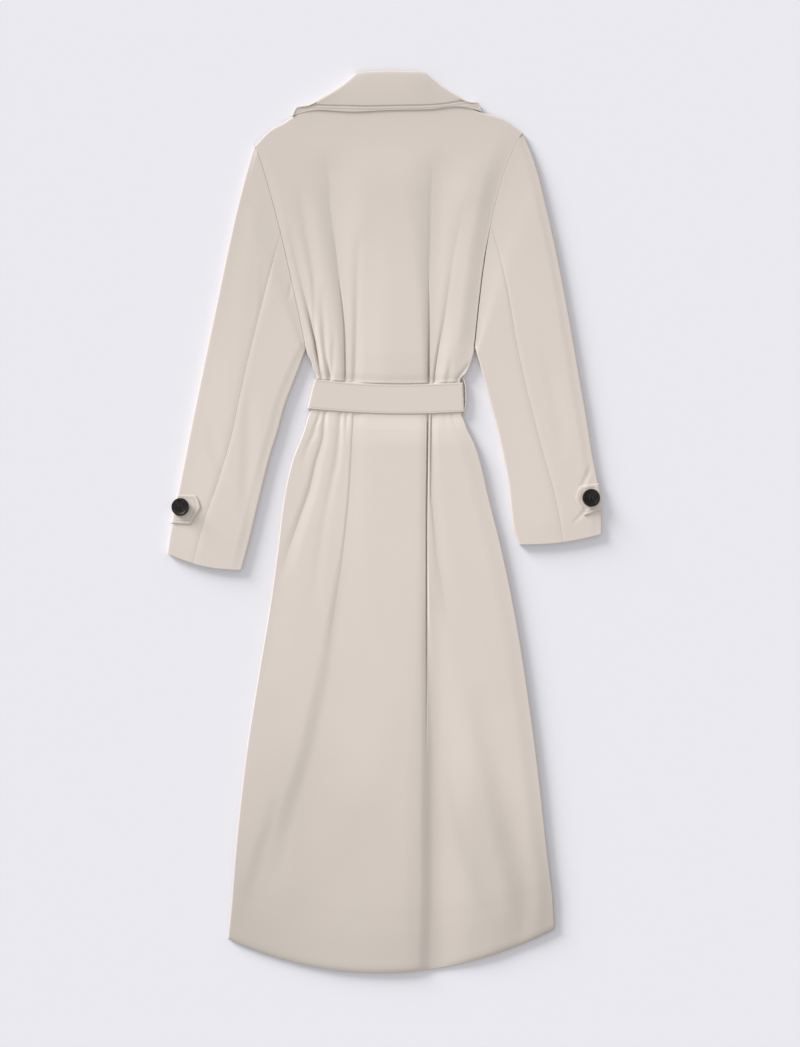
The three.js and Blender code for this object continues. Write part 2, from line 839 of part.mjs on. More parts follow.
// One place of the back.  It rolls down to the fronts at the side seams and at the shoulders,
// and runs into the sleeves at the armholes.
function backPlace(level, x, left, right) {
  const point = bodyPoint(level, x, 'back');
  const cloth = clothAt(level, 'back');
  const top = lerp(relaxedHeight(level, x, point.y), BELT_TOP - BELT_CLOTH - GAP, underBelt(level));

  const seam = frontLift(level, x, point.y) + clothAt(level, 'front') + GAP;
  const toSide = Math.min(x - left, right - x);
  const outwards = x - left < right - x ? -1 : 1;
  const atArmhole = smoothStep(ARMHOLE_BLEND_START, ARMHOLE_BLEND_END, level);
  const sideAngle = rollAngle(toSide);
  const rolledSide = seam + (top - seam) * Math.sin(sideAngle);
  const pulledSide = lerp(ARMHOLE_HEIGHT, top, smoothStep(0, ARMHOLE_PULL, toSide));
  const beside = lerp(rolledSide, pulledSide, atArmhole);

  const onShoulder = x < NECK_LEFT - 1 || x > NECK_RIGHT + 1;
  const shoulderAngle = onShoulder ? rollAngle(TOP_LEVEL - level) : Math.PI / 2;
  const z = seam + (beside - seam) * Math.sin(shoulderAngle);

  const sideTilt = Math.cos(sideAngle) * (1 - atArmhole);
  const shoulderTilt = Math.cos(shoulderAngle);
  const normal = new THREE.Vector3(
    outwards * sideTilt + (x < CENTRE_X ? SHOULDER_LEAN_LEFT : SHOULDER_LEAN_RIGHT) * shoulderTilt,
    shoulderTilt,
    Math.sqrt(Math.max(0, 1 - sideTilt ** 2)) * Math.sin(shoulderAngle),
  ).normalize();
  const outer = new THREE.Vector3(x, point.y, z);
  const inner = outer.clone().addScaledVector(normal, -cloth);
  inner.z = Math.max(inner.z, Math.min(seam, z));
  return { outer, inner };
}

// ---- Fronts ------------------------------------------------------------------------------

const LAP_COLUMNS = [LAP_LEFT, -14, CENTRE_X, 32, LAP_RIGHT];
const RIGHT_COLUMNS = [0, 0.24, 0.48, 0.66, 1];
const LEFT_COLUMNS = [0, 0.25, 0.45, 0.72, 1];
const LAP_STEP_START = -58;
const LAP_STEP_END = -41;

// levelX is where the neckline runs level from, past the centre of the front.
function frontPlace(level, x, levelX, lapLift) {
  const neckX = lerp(x, levelX, smoothStep(NECKLINE_BLEND_LEVEL, NECKLINE_LEVEL, level));
  const point = bodyPoint(level, x, 'front', neckX);
  const cloth = clothAt(level, 'front');
  const bottom = frontLift(level, x, point.y) + lapLift * (cloth + GAP);
  return {
    outer: new THREE.Vector3(x, point.y, bottom),
    inner: new THREE.Vector3(x, point.y, bottom + cloth),
  };
}

function frontRightGrid() {
  return BODY_LEVELS.map((level) => {
    const right = bodyEdge('right', level).x;
    const beside = RIGHT_COLUMNS.map((share) => lerp(NECK_RIGHT, right, share));
    const columns = [...LAP_COLUMNS, ...beside];
    return columns.map((x) => frontPlace(level, x, Math.max(x, CENTRE_X), 0));
  });
}

// The left front steps up on to the right one, just before the right one's edge.
function frontLeftGrid() {
  return BODY_LEVELS.map((level) => {
    const left = bodyEdge('left', level).x;
    const beside = LEFT_COLUMNS.map((share) => lerp(left, NECK_LEFT, share));
    const columns = [...beside, LAP_STEP_START, LAP_STEP_END, ...LAP_COLUMNS];
    return columns.map((x) => {
      const lapLift = smoothStep(LAP_STEP_START, LAP_STEP_END, x);
      return frontPlace(level, x, Math.min(x, CENTRE_X), lapLift);
    });
  });
}

// ---- Sleeves -----------------------------------------------------------------------------

function sleeveSection(side, place) {
  const sleeve = SLEEVES[side];
  const rows = sleeve.sections.map((row, index) => ({ ...row, index }));
  const section = {};
  for (const column of SLEEVE_COLUMNS) section[column] = read(rows, 'index', column, place);
  section.width = Math.hypot(section.innerX - section.outerX, section.innerY - section.outerY);
  section.sag = sleeve.cuffSag * smoothStep(rows.length - 3, rows.length - 1, place);
  section.bowX = sleeve.bowX * section.bow;
  section.folds = sleeveFolds[side];
  return section;
}

// A place on the flattened tube.  along is measured round the tube from where the rounded outer
// or inner edge meets the flat top: above 0 on the top, below 0 round the edge and underneath.
function sleevePlace(section, edge, along, outwards) {
  const radius = section.height / 2;
  let depth = radius + along;
  let z = section.height;
  let normal = [0, 1];
  if (along > 0) {
    depth = radius + along;
  } else if (along > -Math.PI * radius) {
    const angle = -along / radius;
    depth = radius - radius * Math.sin(angle);
    z = radius + radius * Math.cos(angle);
    normal = [-Math.sin(angle), Math.cos(angle)];
  } else {
    depth = radius - along - Math.PI * radius;
    z = 0;
    normal = [0, -1];
  }
  const share = edge === 'outer' ? depth / section.width : 1 - depth / section.width;
  const sign = edge === 'outer' ? 1 : -1;
  const unitX = (section.innerX - section.outerX) / section.width;
  const unitY = (section.innerY - section.outerY) / section.width;
  const wave = Math.sin(Math.PI * clamp01(share) ** WAVE_SKEW);
  const x = lerp(section.outerX, section.innerX, share) + section.bowX * wave;
  const sag = section.sag * Math.sin(Math.PI * clamp01(share));
  const y = lerp(section.outerY, section.innerY, share) + sag;
  const onTop = clamp01(along / SLEEVE_FOLD_START);
  const fold = foldRise(section.folds, x, y) * onTop;
  return new THREE.Vector3(
    x + sign * unitX * normal[0] * outwards,
    y + sign * unitY * normal[0] * outwards,
    z + fold + normal[1] * outwards,
  );
}

const SLEEVE_PLACES = [0, 0.5, 1, 2, 3, 4, 5, 6, 7, 8, 9, 10, 10.7, 11.4, 12];
const TOP_CELLS = 5;
const EDGE_CELLS = 6;
const UNDERSIDE_CELLS = { upper: 4, under: 1 };

// A sleeve piece runs from the hind-arm seam over its own edge of the tube to the fore-arm seam
// on the underside.  The upper one takes the outer edge, the under one the inner edge.
function sleeveGrid(side, piece) {
  return SLEEVE_PLACES.map((place) => {
    const section = sleeveSection(side, place);
    const radius = section.height / 2;
    const turn = Math.PI * radius;
    const flat = section.width - 2 * radius;
    const toSeam = section.seam * section.width - radius;
    const edge = piece === 'upper' ? 'outer' : 'inner';
    const top = piece === 'upper' ? toSeam - GAP : flat - toSeam - GAP;
    const under = piece === 'upper' ? flat - FORE_SEAM - GAP / 2 : FORE_SEAM - GAP / 2;
    const stops = [
      ...spread(top, 0, TOP_CELLS),
      ...spread(0, -turn, EDGE_CELLS).slice(1),
      ...spread(-turn, -turn - under, UNDERSIDE_CELLS[piece]).slice(1),
    ];
    const cloth = Math.min(CLOTH, radius - SLEEVE_LEAST_HOLLOW);
    return stops.map((along) => ({
      outer: sleevePlace(section, edge, along, 0),
      inner: sleevePlace(section, edge, along, -cloth),
    }));
  });
}

// ---- Cuff tabs ---------------------------------------------------------------------------

const HALVINGS = 30;

// Finds where along the lower half of the sleeve the outer edge passes a height y.
function sleevePlaceAtY(side, y) {
  let low = 6;
  let high = SLEEVES[side].sections.length - 1;
  for (let step = 0; step < HALVINGS; step += 1) {
    const middle = (low + high) / 2;
    if (sleeveSection(side, middle).outerY > y) low = middle;
    else high = middle;
  }
  return low;
}

function cuffTabGrid(side) {
  return CUFF_TABS[side].map((row) => spread(0, 1, 3).map((share) => {
    const y = lerp(row.upper, row.lower, share);
    const section = sleeveSection(side, sleevePlaceAtY(side, y));
    return {
      outer: sleevePlace(section, 'outer', row.along, CURVED_SEAM_GAP + TAB_CLOTH),
      inner: sleevePlace(section, 'outer', row.along, CURVED_SEAM_GAP),
    };
  }));
}

// ---- Buttons -----------------------------------------------------------------------------

// A round button with a raised rim, a dished middle and four sewing holes.
function buttonGeometry() {
  const profile = BUTTON_PROFILE.map((row) => new THREE.Vector2(row.radius, row.height));
  const body = new THREE.LatheGeometry(profile, BUTTON_SIDES);
  body.rotateX(Math.PI / 2);
  let solid = manifoldOf(body);
  for (const corner of [45, 135, 225, 315]) {
    const angle = THREE.MathUtils.degToRad(corner);
    const hole = new THREE.CylinderGeometry(BUTTON_HOLE_RADIUS, BUTTON_HOLE_RADIUS, 3 * BUTTON_HEIGHT, 8);
    hole.rotateX(Math.PI / 2);
    hole.translate(BUTTON_HOLE_SPREAD * Math.cos(angle), BUTTON_HOLE_SPREAD * Math.sin(angle), 0);
    solid = solid.subtract(manifoldOf(hole));
  }
  const mesh = solid.getMesh();
  const geometry = new THREE.BufferGeometry();
  geometry.setAttribute('position', new THREE.Float32BufferAttribute(mesh.vertProperties, 3));
  geometry.setIndex(Array.from(mesh.triVerts));
  return geometry;
}

function manifoldOf(geometry) {
  geometry.deleteAttribute('normal');
  geometry.deleteAttribute('uv');
  const merged = mergeVertices(geometry, 1e-4);
  const corners = Array.from(merged.index.array);
  const kept = [];
  for (let at = 0; at < corners.length; at += 3) {
    const [a, b, c] = corners.slice(at, at + 3);
    if (a !== b && b !== c && a !== c) kept.push(a, b, c);
  }
  const positions = Array.from(merged.attributes.position.array);
  const outwards = volume(positions, kept) < 0 ? turned(kept) : kept;
  return new wasm.Manifold(new wasm.Mesh({
    numProp: 3,
    vertProperties: new Float32Array(positions),
    triVerts: new Uint32Array(outwards),
  }));
}

// Sets a button on its tab, tilted on its thread towards the outer edge of the sleeve.
function placeButton(mesh, side) {
  const { x, y, tilt } = BUTTONS[side];
  const section = sleeveSection(side, sleevePlaceAtY(side, y));
  const top = section.height + CURVED_SEAM_GAP + TAB_CLOTH + GAP;
  const lean = THREE.MathUtils.degToRad(tilt);
  mesh.rotation.y = lean;
  mesh.position.set(x, y, top + Math.sin(Math.abs(lean)) * BUTTON_SEAT);
}

// ---- Collar ------------------------------------------------------------------------------

// A section of the collar: which way its cloth runs from the roll to the edge and faces.
function collarFrames() {
  return COLLAR_SECTIONS.map((row, index) => {
    const roll = new THREE.Vector3(row.rollX, row.rollY, COLLAR_AXIS_Z);
    const edge = new THREE.Vector3(row.edgeX, row.edgeY, COLLAR_AXIS_Z);
    const neck = new THREE.Vector3(row.neckX, row.neckY, COLLAR_AXIS_Z);
    const run = edge.clone().sub(roll).normalize();
    const side = index < COLLAR_SECTIONS.length / 2 ? 1 : -1;
    const outwards = new THREE.Vector3(run.y * side, -run.x * side, 0);
    const angle = THREE.MathUtils.degToRad(Math.abs(row.turn));
    const facing = outwards.multiplyScalar(Math.sin(angle)).add(new THREE.Vector3(0, 0, Math.cos(angle)));
    return { roll, edge, neck, run, facing };
  });
}

function collarFallGrid() {
  const curl = (COLLAR_OUTER - STAND_INNER) / 2;
  const centre = COLLAR_OUTER - curl;
  const curlInner = curl - COLLAR_CLOTH;
  return collarFrames().map(({ roll, edge, run, facing }) => {
    const places = [];
    const length = edge.distanceTo(roll);
    for (const degrees of COLLAR_CURL_DEGREES) {
      const angle = THREE.MathUtils.degToRad(degrees);
      const point = (radius) => roll.clone()
        .addScaledVector(run, curl - radius * Math.sin(angle))
        .addScaledVector(facing, centre + radius * Math.cos(angle));
      places.push({ outer: point(curl), inner: point(curlInner) });
    }
    for (const share of COLLAR_SHARES) {
      const along = roll.clone().addScaledVector(run, Math.max(share * length, curl));
      const level = 1 - Math.hypot(facing.x, facing.y);
      const puff = facing.z > 0 ? COLLAR_PUFF * Math.sin(Math.PI * share) * level : 0;
      const point = (height) => along.clone().addScaledVector(facing, height + puff);
      places.push({ outer: point(COLLAR_OUTER), inner: point(COLLAR_INNER) });
    }
    return places;
  });
}

function collarStandGrid() {
  const curl = (COLLAR_OUTER - STAND_INNER) / 2;
  return collarFrames().map(({ roll, neck, run, facing }) => {
    const top = roll.clone().addScaledVector(run, curl + COLLAR_SEAM_GAP);
    return [0, 0.5, 1].map((share) => {
      const place = top.clone().lerp(neck, share);
      return {
        outer: place.clone().addScaledVector(facing, STAND_OUTER),
        inner: place.clone().addScaledVector(facing, STAND_INNER),
      };
    });
  });
}

// ---- Belt and its loops ------------------------------------------------------------------

// The belt's way round the waist: over the back, round the sides and under the fronts, where
// the end lies on the start.
function beltStations() {
  const radius = BELT_TOP / 2;
  const stations = [];
  const flat = (x, z, down) => stations.push({ x, z, normal: [0, down ? -1 : 1] });
  const layer = BELT_CLOTH + GAP;
  for (const x of spread(BELT_LAP_START, BELT_RIGHT - radius, BELT_FRONT_CELLS)) flat(x, 0, true);
  for (const angle of spread(0, Math.PI, BELT_TURN_CELLS).slice(1, -1)) {
    stations.push({
      x: BELT_RIGHT - radius + radius * Math.sin(angle),
      z: radius - radius * Math.cos(angle),
      normal: [Math.sin(angle), -Math.cos(angle)],
    });
  }
  for (const x of spread(BELT_RIGHT - radius, BELT_LEFT + radius, BELT_BACK_CELLS)) {
    flat(x, BELT_TOP, false);
  }
  for (const angle of spread(0, BELT_LEFT_TURN, BELT_TURN_CELLS).slice(1)) {
    stations.push({
      x: BELT_LEFT + radius - radius * Math.sin(angle),
      z: radius + radius * Math.cos(angle),
      normal: [-Math.sin(angle), Math.cos(angle)],
    });
  }
  for (const x of spread(BELT_LAP_START, BELT_LAP_END, 2)) flat(x, layer, true);
  return stations;
}

function beltGrid() {
  return beltStations().map(({ x, z, normal }) => [-1, 0, 1].map((edge) => {
    const across = (x - BELT_LEFT) / (BELT_RIGHT - BELT_LEFT);
    const slant = lerp(BELT_SLANT_LEFT, BELT_SLANT_RIGHT, clamp01(across));
    const y = beltCentreY(x) + (edge * BELT_WIDTH) / 2;
    const outer = new THREE.Vector3(x + slant * edge, y, z);
    const inwards = new THREE.Vector3(-normal[0], 0, -normal[1]);
    const inner = outer.clone().addScaledVector(inwards, BELT_CLOTH);
    return { outer, inner };
  }));
}

// A narrow strip that stands beside the belt's edge and meets the body above and below it.
const BELT_LOOPS = {
  left: {
    bottom: 1,
    top: 6.4,
    path: table(['x', 'y'], [
      [-100.9, 214],
      [-102.3, 206],
      [-106, 186],
      [-109.4, 167],
      [-109.8, 153.5],
    ]),
  },
  right: {
    bottom: 1.2,
    top: 8,
    path: table(['x', 'y'], [
      [113.4, 208],
      [113.9, 204],
      [114.6, 180],
      [115.5, 160],
      [115.3, 148],
    ]),
  },
};
const LOOP_CLOTH = 1.2;

function beltLoopGrid(side) {
  const { path, bottom, top } = BELT_LOOPS[side];
  const outwards = side === 'left' ? -1 : 1;
  return path.map(({ x, y }) => [bottom, top].map((z) => ({
    outer: new THREE.Vector3(x + outwards * LOOP_CLOTH, y, z),
    inner: new THREE.Vector3(x, y, z),
  })));
}

// ---- The coat ----------------------------------------------------------------------------

const coat = new THREE.Group();
coat.add(makePart('back', wallGeometry(backGrid()), clothMaterial(STONE)));
coat.add(makePart('front_left', wallGeometry(frontLeftGrid()), clothMaterial(STONE_SHADE)));
coat.add(makePart('front_right', wallGeometry(frontRightGrid()), clothMaterial(STONE_SHADE)));
coat.add(makePart('collar_fall', wallGeometry(collarFallGrid()), clothMaterial(STONE)));
coat.add(makePart('collar_stand', wallGeometry(collarStandGrid()), clothMaterial(STONE_SHADE)));
coat.add(makePart('belt', wallGeometry(beltGrid()), clothMaterial(STONE)));
for (const side of ['left', 'right']) {
  const upper = wallGeometry(sleeveGrid(side, 'upper'));
  const under = wallGeometry(sleeveGrid(side, 'under'));
  coat.add(makePart(`sleeve_${side}_upper`, upper, clothMaterial(STONE)));
  coat.add(makePart(`sleeve_${side}_under`, under, clothMaterial(STONE)));
  coat.add(makePart(`belt_loop_${side}`, wallGeometry(beltLoopGrid(side)), clothMaterial(STONE_SHADE)));
  coat.add(makePart(`cuff_tab_${side}`, wallGeometry(cuffTabGrid(side)), clothMaterial(STONE)));
  const button = makePart(`button_${side}`, buttonGeometry(), buttonMaterial());
  placeButton(button, side);
  coat.add(button);
}

// The origin lies under the middle of the outline.
const middle = new THREE.Box3().setFromObject(coat).getCenter(new THREE.Vector3());
for (const part of coat.children) part.position.sub(new THREE.Vector3(middle.x, middle.y, 0));

export default coat;
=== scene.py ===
import math
import bpy
import numpy as np
from mathutils import Matrix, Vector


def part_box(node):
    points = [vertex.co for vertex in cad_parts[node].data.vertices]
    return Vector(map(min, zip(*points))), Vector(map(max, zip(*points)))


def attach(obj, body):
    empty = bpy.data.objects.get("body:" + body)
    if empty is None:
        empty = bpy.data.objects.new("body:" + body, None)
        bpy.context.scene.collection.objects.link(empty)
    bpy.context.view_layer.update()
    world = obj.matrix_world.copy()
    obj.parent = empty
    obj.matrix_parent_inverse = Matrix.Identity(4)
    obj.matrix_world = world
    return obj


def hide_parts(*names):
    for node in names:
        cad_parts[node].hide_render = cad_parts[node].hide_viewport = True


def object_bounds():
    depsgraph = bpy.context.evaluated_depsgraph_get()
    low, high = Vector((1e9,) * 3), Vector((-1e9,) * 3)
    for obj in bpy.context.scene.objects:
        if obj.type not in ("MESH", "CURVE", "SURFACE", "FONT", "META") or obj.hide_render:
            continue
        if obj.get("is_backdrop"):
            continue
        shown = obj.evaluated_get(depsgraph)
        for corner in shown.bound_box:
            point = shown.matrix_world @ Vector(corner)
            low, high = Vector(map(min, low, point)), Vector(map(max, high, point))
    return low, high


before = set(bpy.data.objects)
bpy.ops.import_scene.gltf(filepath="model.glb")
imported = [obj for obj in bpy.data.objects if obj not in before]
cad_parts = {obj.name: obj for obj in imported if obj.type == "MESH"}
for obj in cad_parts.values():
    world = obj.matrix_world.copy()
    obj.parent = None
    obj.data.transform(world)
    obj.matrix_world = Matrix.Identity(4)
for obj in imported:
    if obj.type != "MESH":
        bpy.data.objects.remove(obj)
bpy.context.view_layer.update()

# A long belted coat that lies on its front, back upwards.  Lengths in the tables are in
# millimetres, in the frame's directions: +x to the right sleeve, +y to the collar, +z up.

# ---- Back ---------------------------------------------------------------------------------
# One piece of smooth, closely woven coat cloth, cut from the shoulders to the hem.  It is sewn
# to the fronts at the sides and shoulders and to the sleeves at the armholes, and the belt
# gathers it into long soft folds above and below the waist.

# A millimetre in metres, the gap between pieces at a seam, and how far in from an edge the rows
# of points lie that round it.
MM = 0.001
SEAM_GAP = 0.3
ROUND_EDGE = (0, 0.1, 0.35, 0.75, 1.3)


def curve(rows, places):
    """Reads a table's columns at some places, on smooth curves through its rows.

    The first column is the place.  The curves never swing out past two neighbouring rows.
    """
    table = np.array(sorted(rows), float)
    keys, values = table[:, 0], table[:, 1:]
    width = np.diff(keys)[:, None]
    chord = np.diff(values, axis=0) / width
    product = chord[:-1] * chord[1:]
    total = np.where(product > 0, chord[:-1] + chord[1:], 1)
    inner_slope = np.where(product > 0, 2 * product / total, 0)
    slope = np.vstack([chord[:1], inner_slope, chord[-1:]])
    at = np.clip(np.asarray(places, float), keys[0], keys[-1])
    index = np.clip(np.searchsorted(keys, at, side="right") - 1, 0, len(width) - 1)
    span = width[index]
    share = ((at - keys[index])[..., None]) / span
    square, cube = share ** 2, share ** 3
    found = (2 * cube - 3 * square + 1) * values[index]
    found += (cube - 2 * square + share) * slope[index] * span
    found += (3 * square - 2 * cube) * values[index + 1]
    found += (cube - square) * slope[index + 1] * span
    return np.moveaxis(found, -1, 0)


def blend(start, end, share):
    """A share of the way from start to end."""
    return start + (end - start) * share


def ease(low, high, value):
    """0 below low and 1 above high, with a soft start and end between them."""
    share = np.clip((value - low) / (high - low), 0, 1)
    return share * share * (3 - 2 * share)


def plateau(low, start, end, high, value):
    """1 from start to end, fading to 0 at low and at high."""
    return ease(low, start, value) * (1 - ease(end, high, value))


def fold_rise(folds, x, y, crisp=0):
    """How much a list of folds raises the cloth at x, y.  A fold's rows, down its length, are
    y, x, rise (below 0 for a crease) and how far it reaches to the left and to the right.  A
    crisp fold falls ever steeper to its line from the left; a soft one is rounded there."""
    total = np.zeros(np.broadcast(x, y).shape)
    for path in folds:
        middle, rise, left, right = curve(path, y)
        offset = x - middle
        on_left = offset < 0
        share = np.clip(np.abs(offset) / np.where(on_left, left, right), 0, 1)
        total += rise * (1 - share) ** 2 * (1 + 2 * share * np.where(on_left, 1 - crisp, 1))
    return total


def slot_depth(slots, x, y):
    """Narrow gaps where one fold closes over the next: y, x, depth and half width in each row."""
    total = np.zeros(np.broadcast(x, y).shape)
    for path in slots:
        middle, depth, half = curve(path, y)
        total += depth * np.clip(1 - ((x - middle) / half) ** 2, 0, None) ** 0.7
    return total


def with_rims(places):
    """Adds fine steps at both ends of a list of places, for the rounded edges."""
    ends = np.array(ROUND_EDGE)
    low, high = min(places), max(places)
    inside = [place for place in places if low + 2 < place < high - 2]
    return np.array(sorted([*(low + ends), *inside, *(high - ends)]))


def crowded(low, high, count, lines):
    """Places from low to high in each row, closer together round some lines.  A line is its
    place in each row, how much closer the places are there, and how far that reaches."""
    fine = np.linspace(0, 1, 900)
    found = []
    for row in range(len(low)):
        places = blend(low[row], high[row], fine)
        density = np.ones_like(places)
        for middle, more, reach in lines:
            density += more * np.exp(-(((places - middle[row]) / reach) ** 2))
        total = np.cumsum(density)
        total = (total - total[0]) / (total[-1] - total[0])
        found.append(np.interp(np.linspace(0, 1, count), total, places))
    return np.array(found)


def points(x, y, z):
    """An array of points from their coordinates."""
    return np.stack(np.broadcast_arrays(x, y, z), axis=-1).astype(float)


def add_mesh(name, vertices, faces, material):
    """A mesh object from points in metres, with its faces turned outwards."""
    vertices, faces = np.asarray(vertices, float), np.asarray(faces)
    a, b, c = (vertices[faces[:, corner]] for corner in range(3))
    d = vertices[faces[:, -1]]
    volume = np.einsum("ij,ij->", a, np.cross(b, c)) + np.einsum("ij,ij->", a, np.cross(c, d))
    mesh = bpy.data.meshes.new(name)
    mesh.from_pydata(vertices.tolist(), [], (faces if volume > 0 else faces[:, ::-1]).tolist())
    mesh.polygons.foreach_set("use_smooth", [True] * len(mesh.polygons))
    mesh.materials.append(material)
    piece = bpy.data.objects.new(name, mesh)
    bpy.context.scene.collection.objects.link(piece)
    return piece


def shell(name, outer, inner, material, edge=1.2, seat=0.5):
    """A closed sheet of cloth from a grid of outer and one of inner points, in millimetres.
    Its two sides run together all the way round in an edge, edge wide, and meet at seat, a
    share of the way down the wall."""
    wall = outer - inner
    middle = outer - wall / 2
    rows, columns = middle.shape[:2]
    down = np.cumsum(np.linalg.norm(np.diff(middle, axis=0, prepend=middle[:1]), axis=2), axis=0)
    across = np.cumsum(np.linalg.norm(np.diff(middle, axis=1, prepend=middle[:, :1]), axis=2), axis=1)
    rim = np.minimum.reduce([down, down[-1:] - down, across, across[:, -1:] - across])
    sink = 1 - np.sqrt(1 - (1 - np.clip(rim / edge, 0, 1)) ** 2)[..., None]
    seat = np.broadcast_to(seat, (rows, columns))[..., None]
    top, bottom = outer - wall * seat * sink, inner + wall * (1 - seat) * sink
    top_index = np.arange(rows * columns).reshape(rows, columns)
    bottom_index = top_index.copy()
    inside = (rows - 2) * (columns - 2)
    bottom_index[1:-1, 1:-1] = rows * columns + np.arange(inside).reshape(rows - 2, columns - 2)
    vertices = np.vstack([top.reshape(-1, 3), bottom[1:-1, 1:-1].reshape(-1, 3)])

    def quads(index):
        corners = [index[:-1, :-1], index[:-1, 1:], index[1:, 1:], index[1:, :-1]]
        return np.stack(corners, axis=-1).reshape(-1, 4)

    faces = np.vstack([quads(top_index), quads(bottom_index)[:, ::-1]])
    return add_mesh(name, vertices * MM, faces, material)


CLOTH_COLOUR, CLOTH_COLOUR_DEEP = (0.700, 0.628, 0.571, 1), (0.676, 0.603, 0.545, 1)
WHITE, SPECK_DARK = (1, 1, 1, 1), (0.955, 0.955, 0.955, 1)
# The cloth is painted a little darker towards the shoulders and the hem, a painted shade for light that
# falls off away from the waist: y in metres, share of the colour. The first two rows are the ends.
PAINTED_SHADE_BY_HEIGHT = [(0.64, 0.93), (-0.62, 0.9), (0.5, 0.955), (0.36, 1), (0.02, 1.03), (-0.2, 1),
                (-0.4, 0.96), (-0.52, 0.925)]
# Soft patches painted darker still and a little warmer, painted shade mostly at the hem's corners and
# sides and at the collar's ends: x, y and reach in metres, share of the colour.
PAINTED_SHADE_PATCHES = [(0.25, -0.56, 0.19, 0.86), (-0.24, -0.57, 0.2, 0.9), (-0.24, 0.40, 0.2, 0.95),
                 (-0.11, -0.42, 0.15, 0.93), (0.13, -0.44, 0.11, 0.93),
                 (-0.09, 0.628, 0.05, 0.94), (0.06, 0.63, 0.042, 0.945)]
# How much less blue the painted shade of the patches is.
PAINTED_SHADE_BLUE = 0.99
# Scales of the cloth's unevenness, the larger the finer: dye, specks, wear, rib and fuzz.
DYE_SCALE, SPECK_SCALE, WEAR_SCALE, RIB_SCALE, FUZZ_SCALE = 9, 900, 60, 520, 2200
RIB_WANDER, FUZZ_SHARE = 1.5, 0.8
RIB_STRENGTH, RIB_HEIGHT = 0.35, 0.0002
SMOOTHEST, ROUGHEST = 0.8, 0.95
CLOTH_GLOSS, CLOTH_BLOOM, BLOOM_ROUGHNESS = 0.25, 0.08, 0.5
# Numbers of a mixing node's sockets for colours: the first, the second and the result.
MIX_FIRST, MIX_SECOND, MIX_RESULT = 6, 7, 2


def new_material(name):
    """A material, its nodes and links, its shader, and the piece's own coordinates."""
    material = bpy.data.materials.new(name)
    material.use_nodes = True
    nodes, links = material.node_tree.nodes, material.node_tree.links
    place = nodes.new("ShaderNodeTexCoord").outputs["Object"]
    return material, nodes, links, nodes["Principled BSDF"], place


def cloudy(nodes, links, place, scale, detail):
    """Soft random clouds from 0 to 1."""
    node = nodes.new("ShaderNodeTexNoise")
    node.inputs["Scale"].default_value = scale
    node.inputs["Detail"].default_value = detail
    links.new(place, node.inputs["Vector"])
    return node.outputs["Fac"]


def mixed(nodes, links, share, low, high):
    """A colour between two others."""
    node = nodes.new("ShaderNodeMix")
    node.data_type = "RGBA"
    links.new(share, node.inputs["Factor"])
    node.inputs[MIX_FIRST].default_value = low
    node.inputs[MIX_SECOND].default_value = high
    return node.outputs[MIX_RESULT]


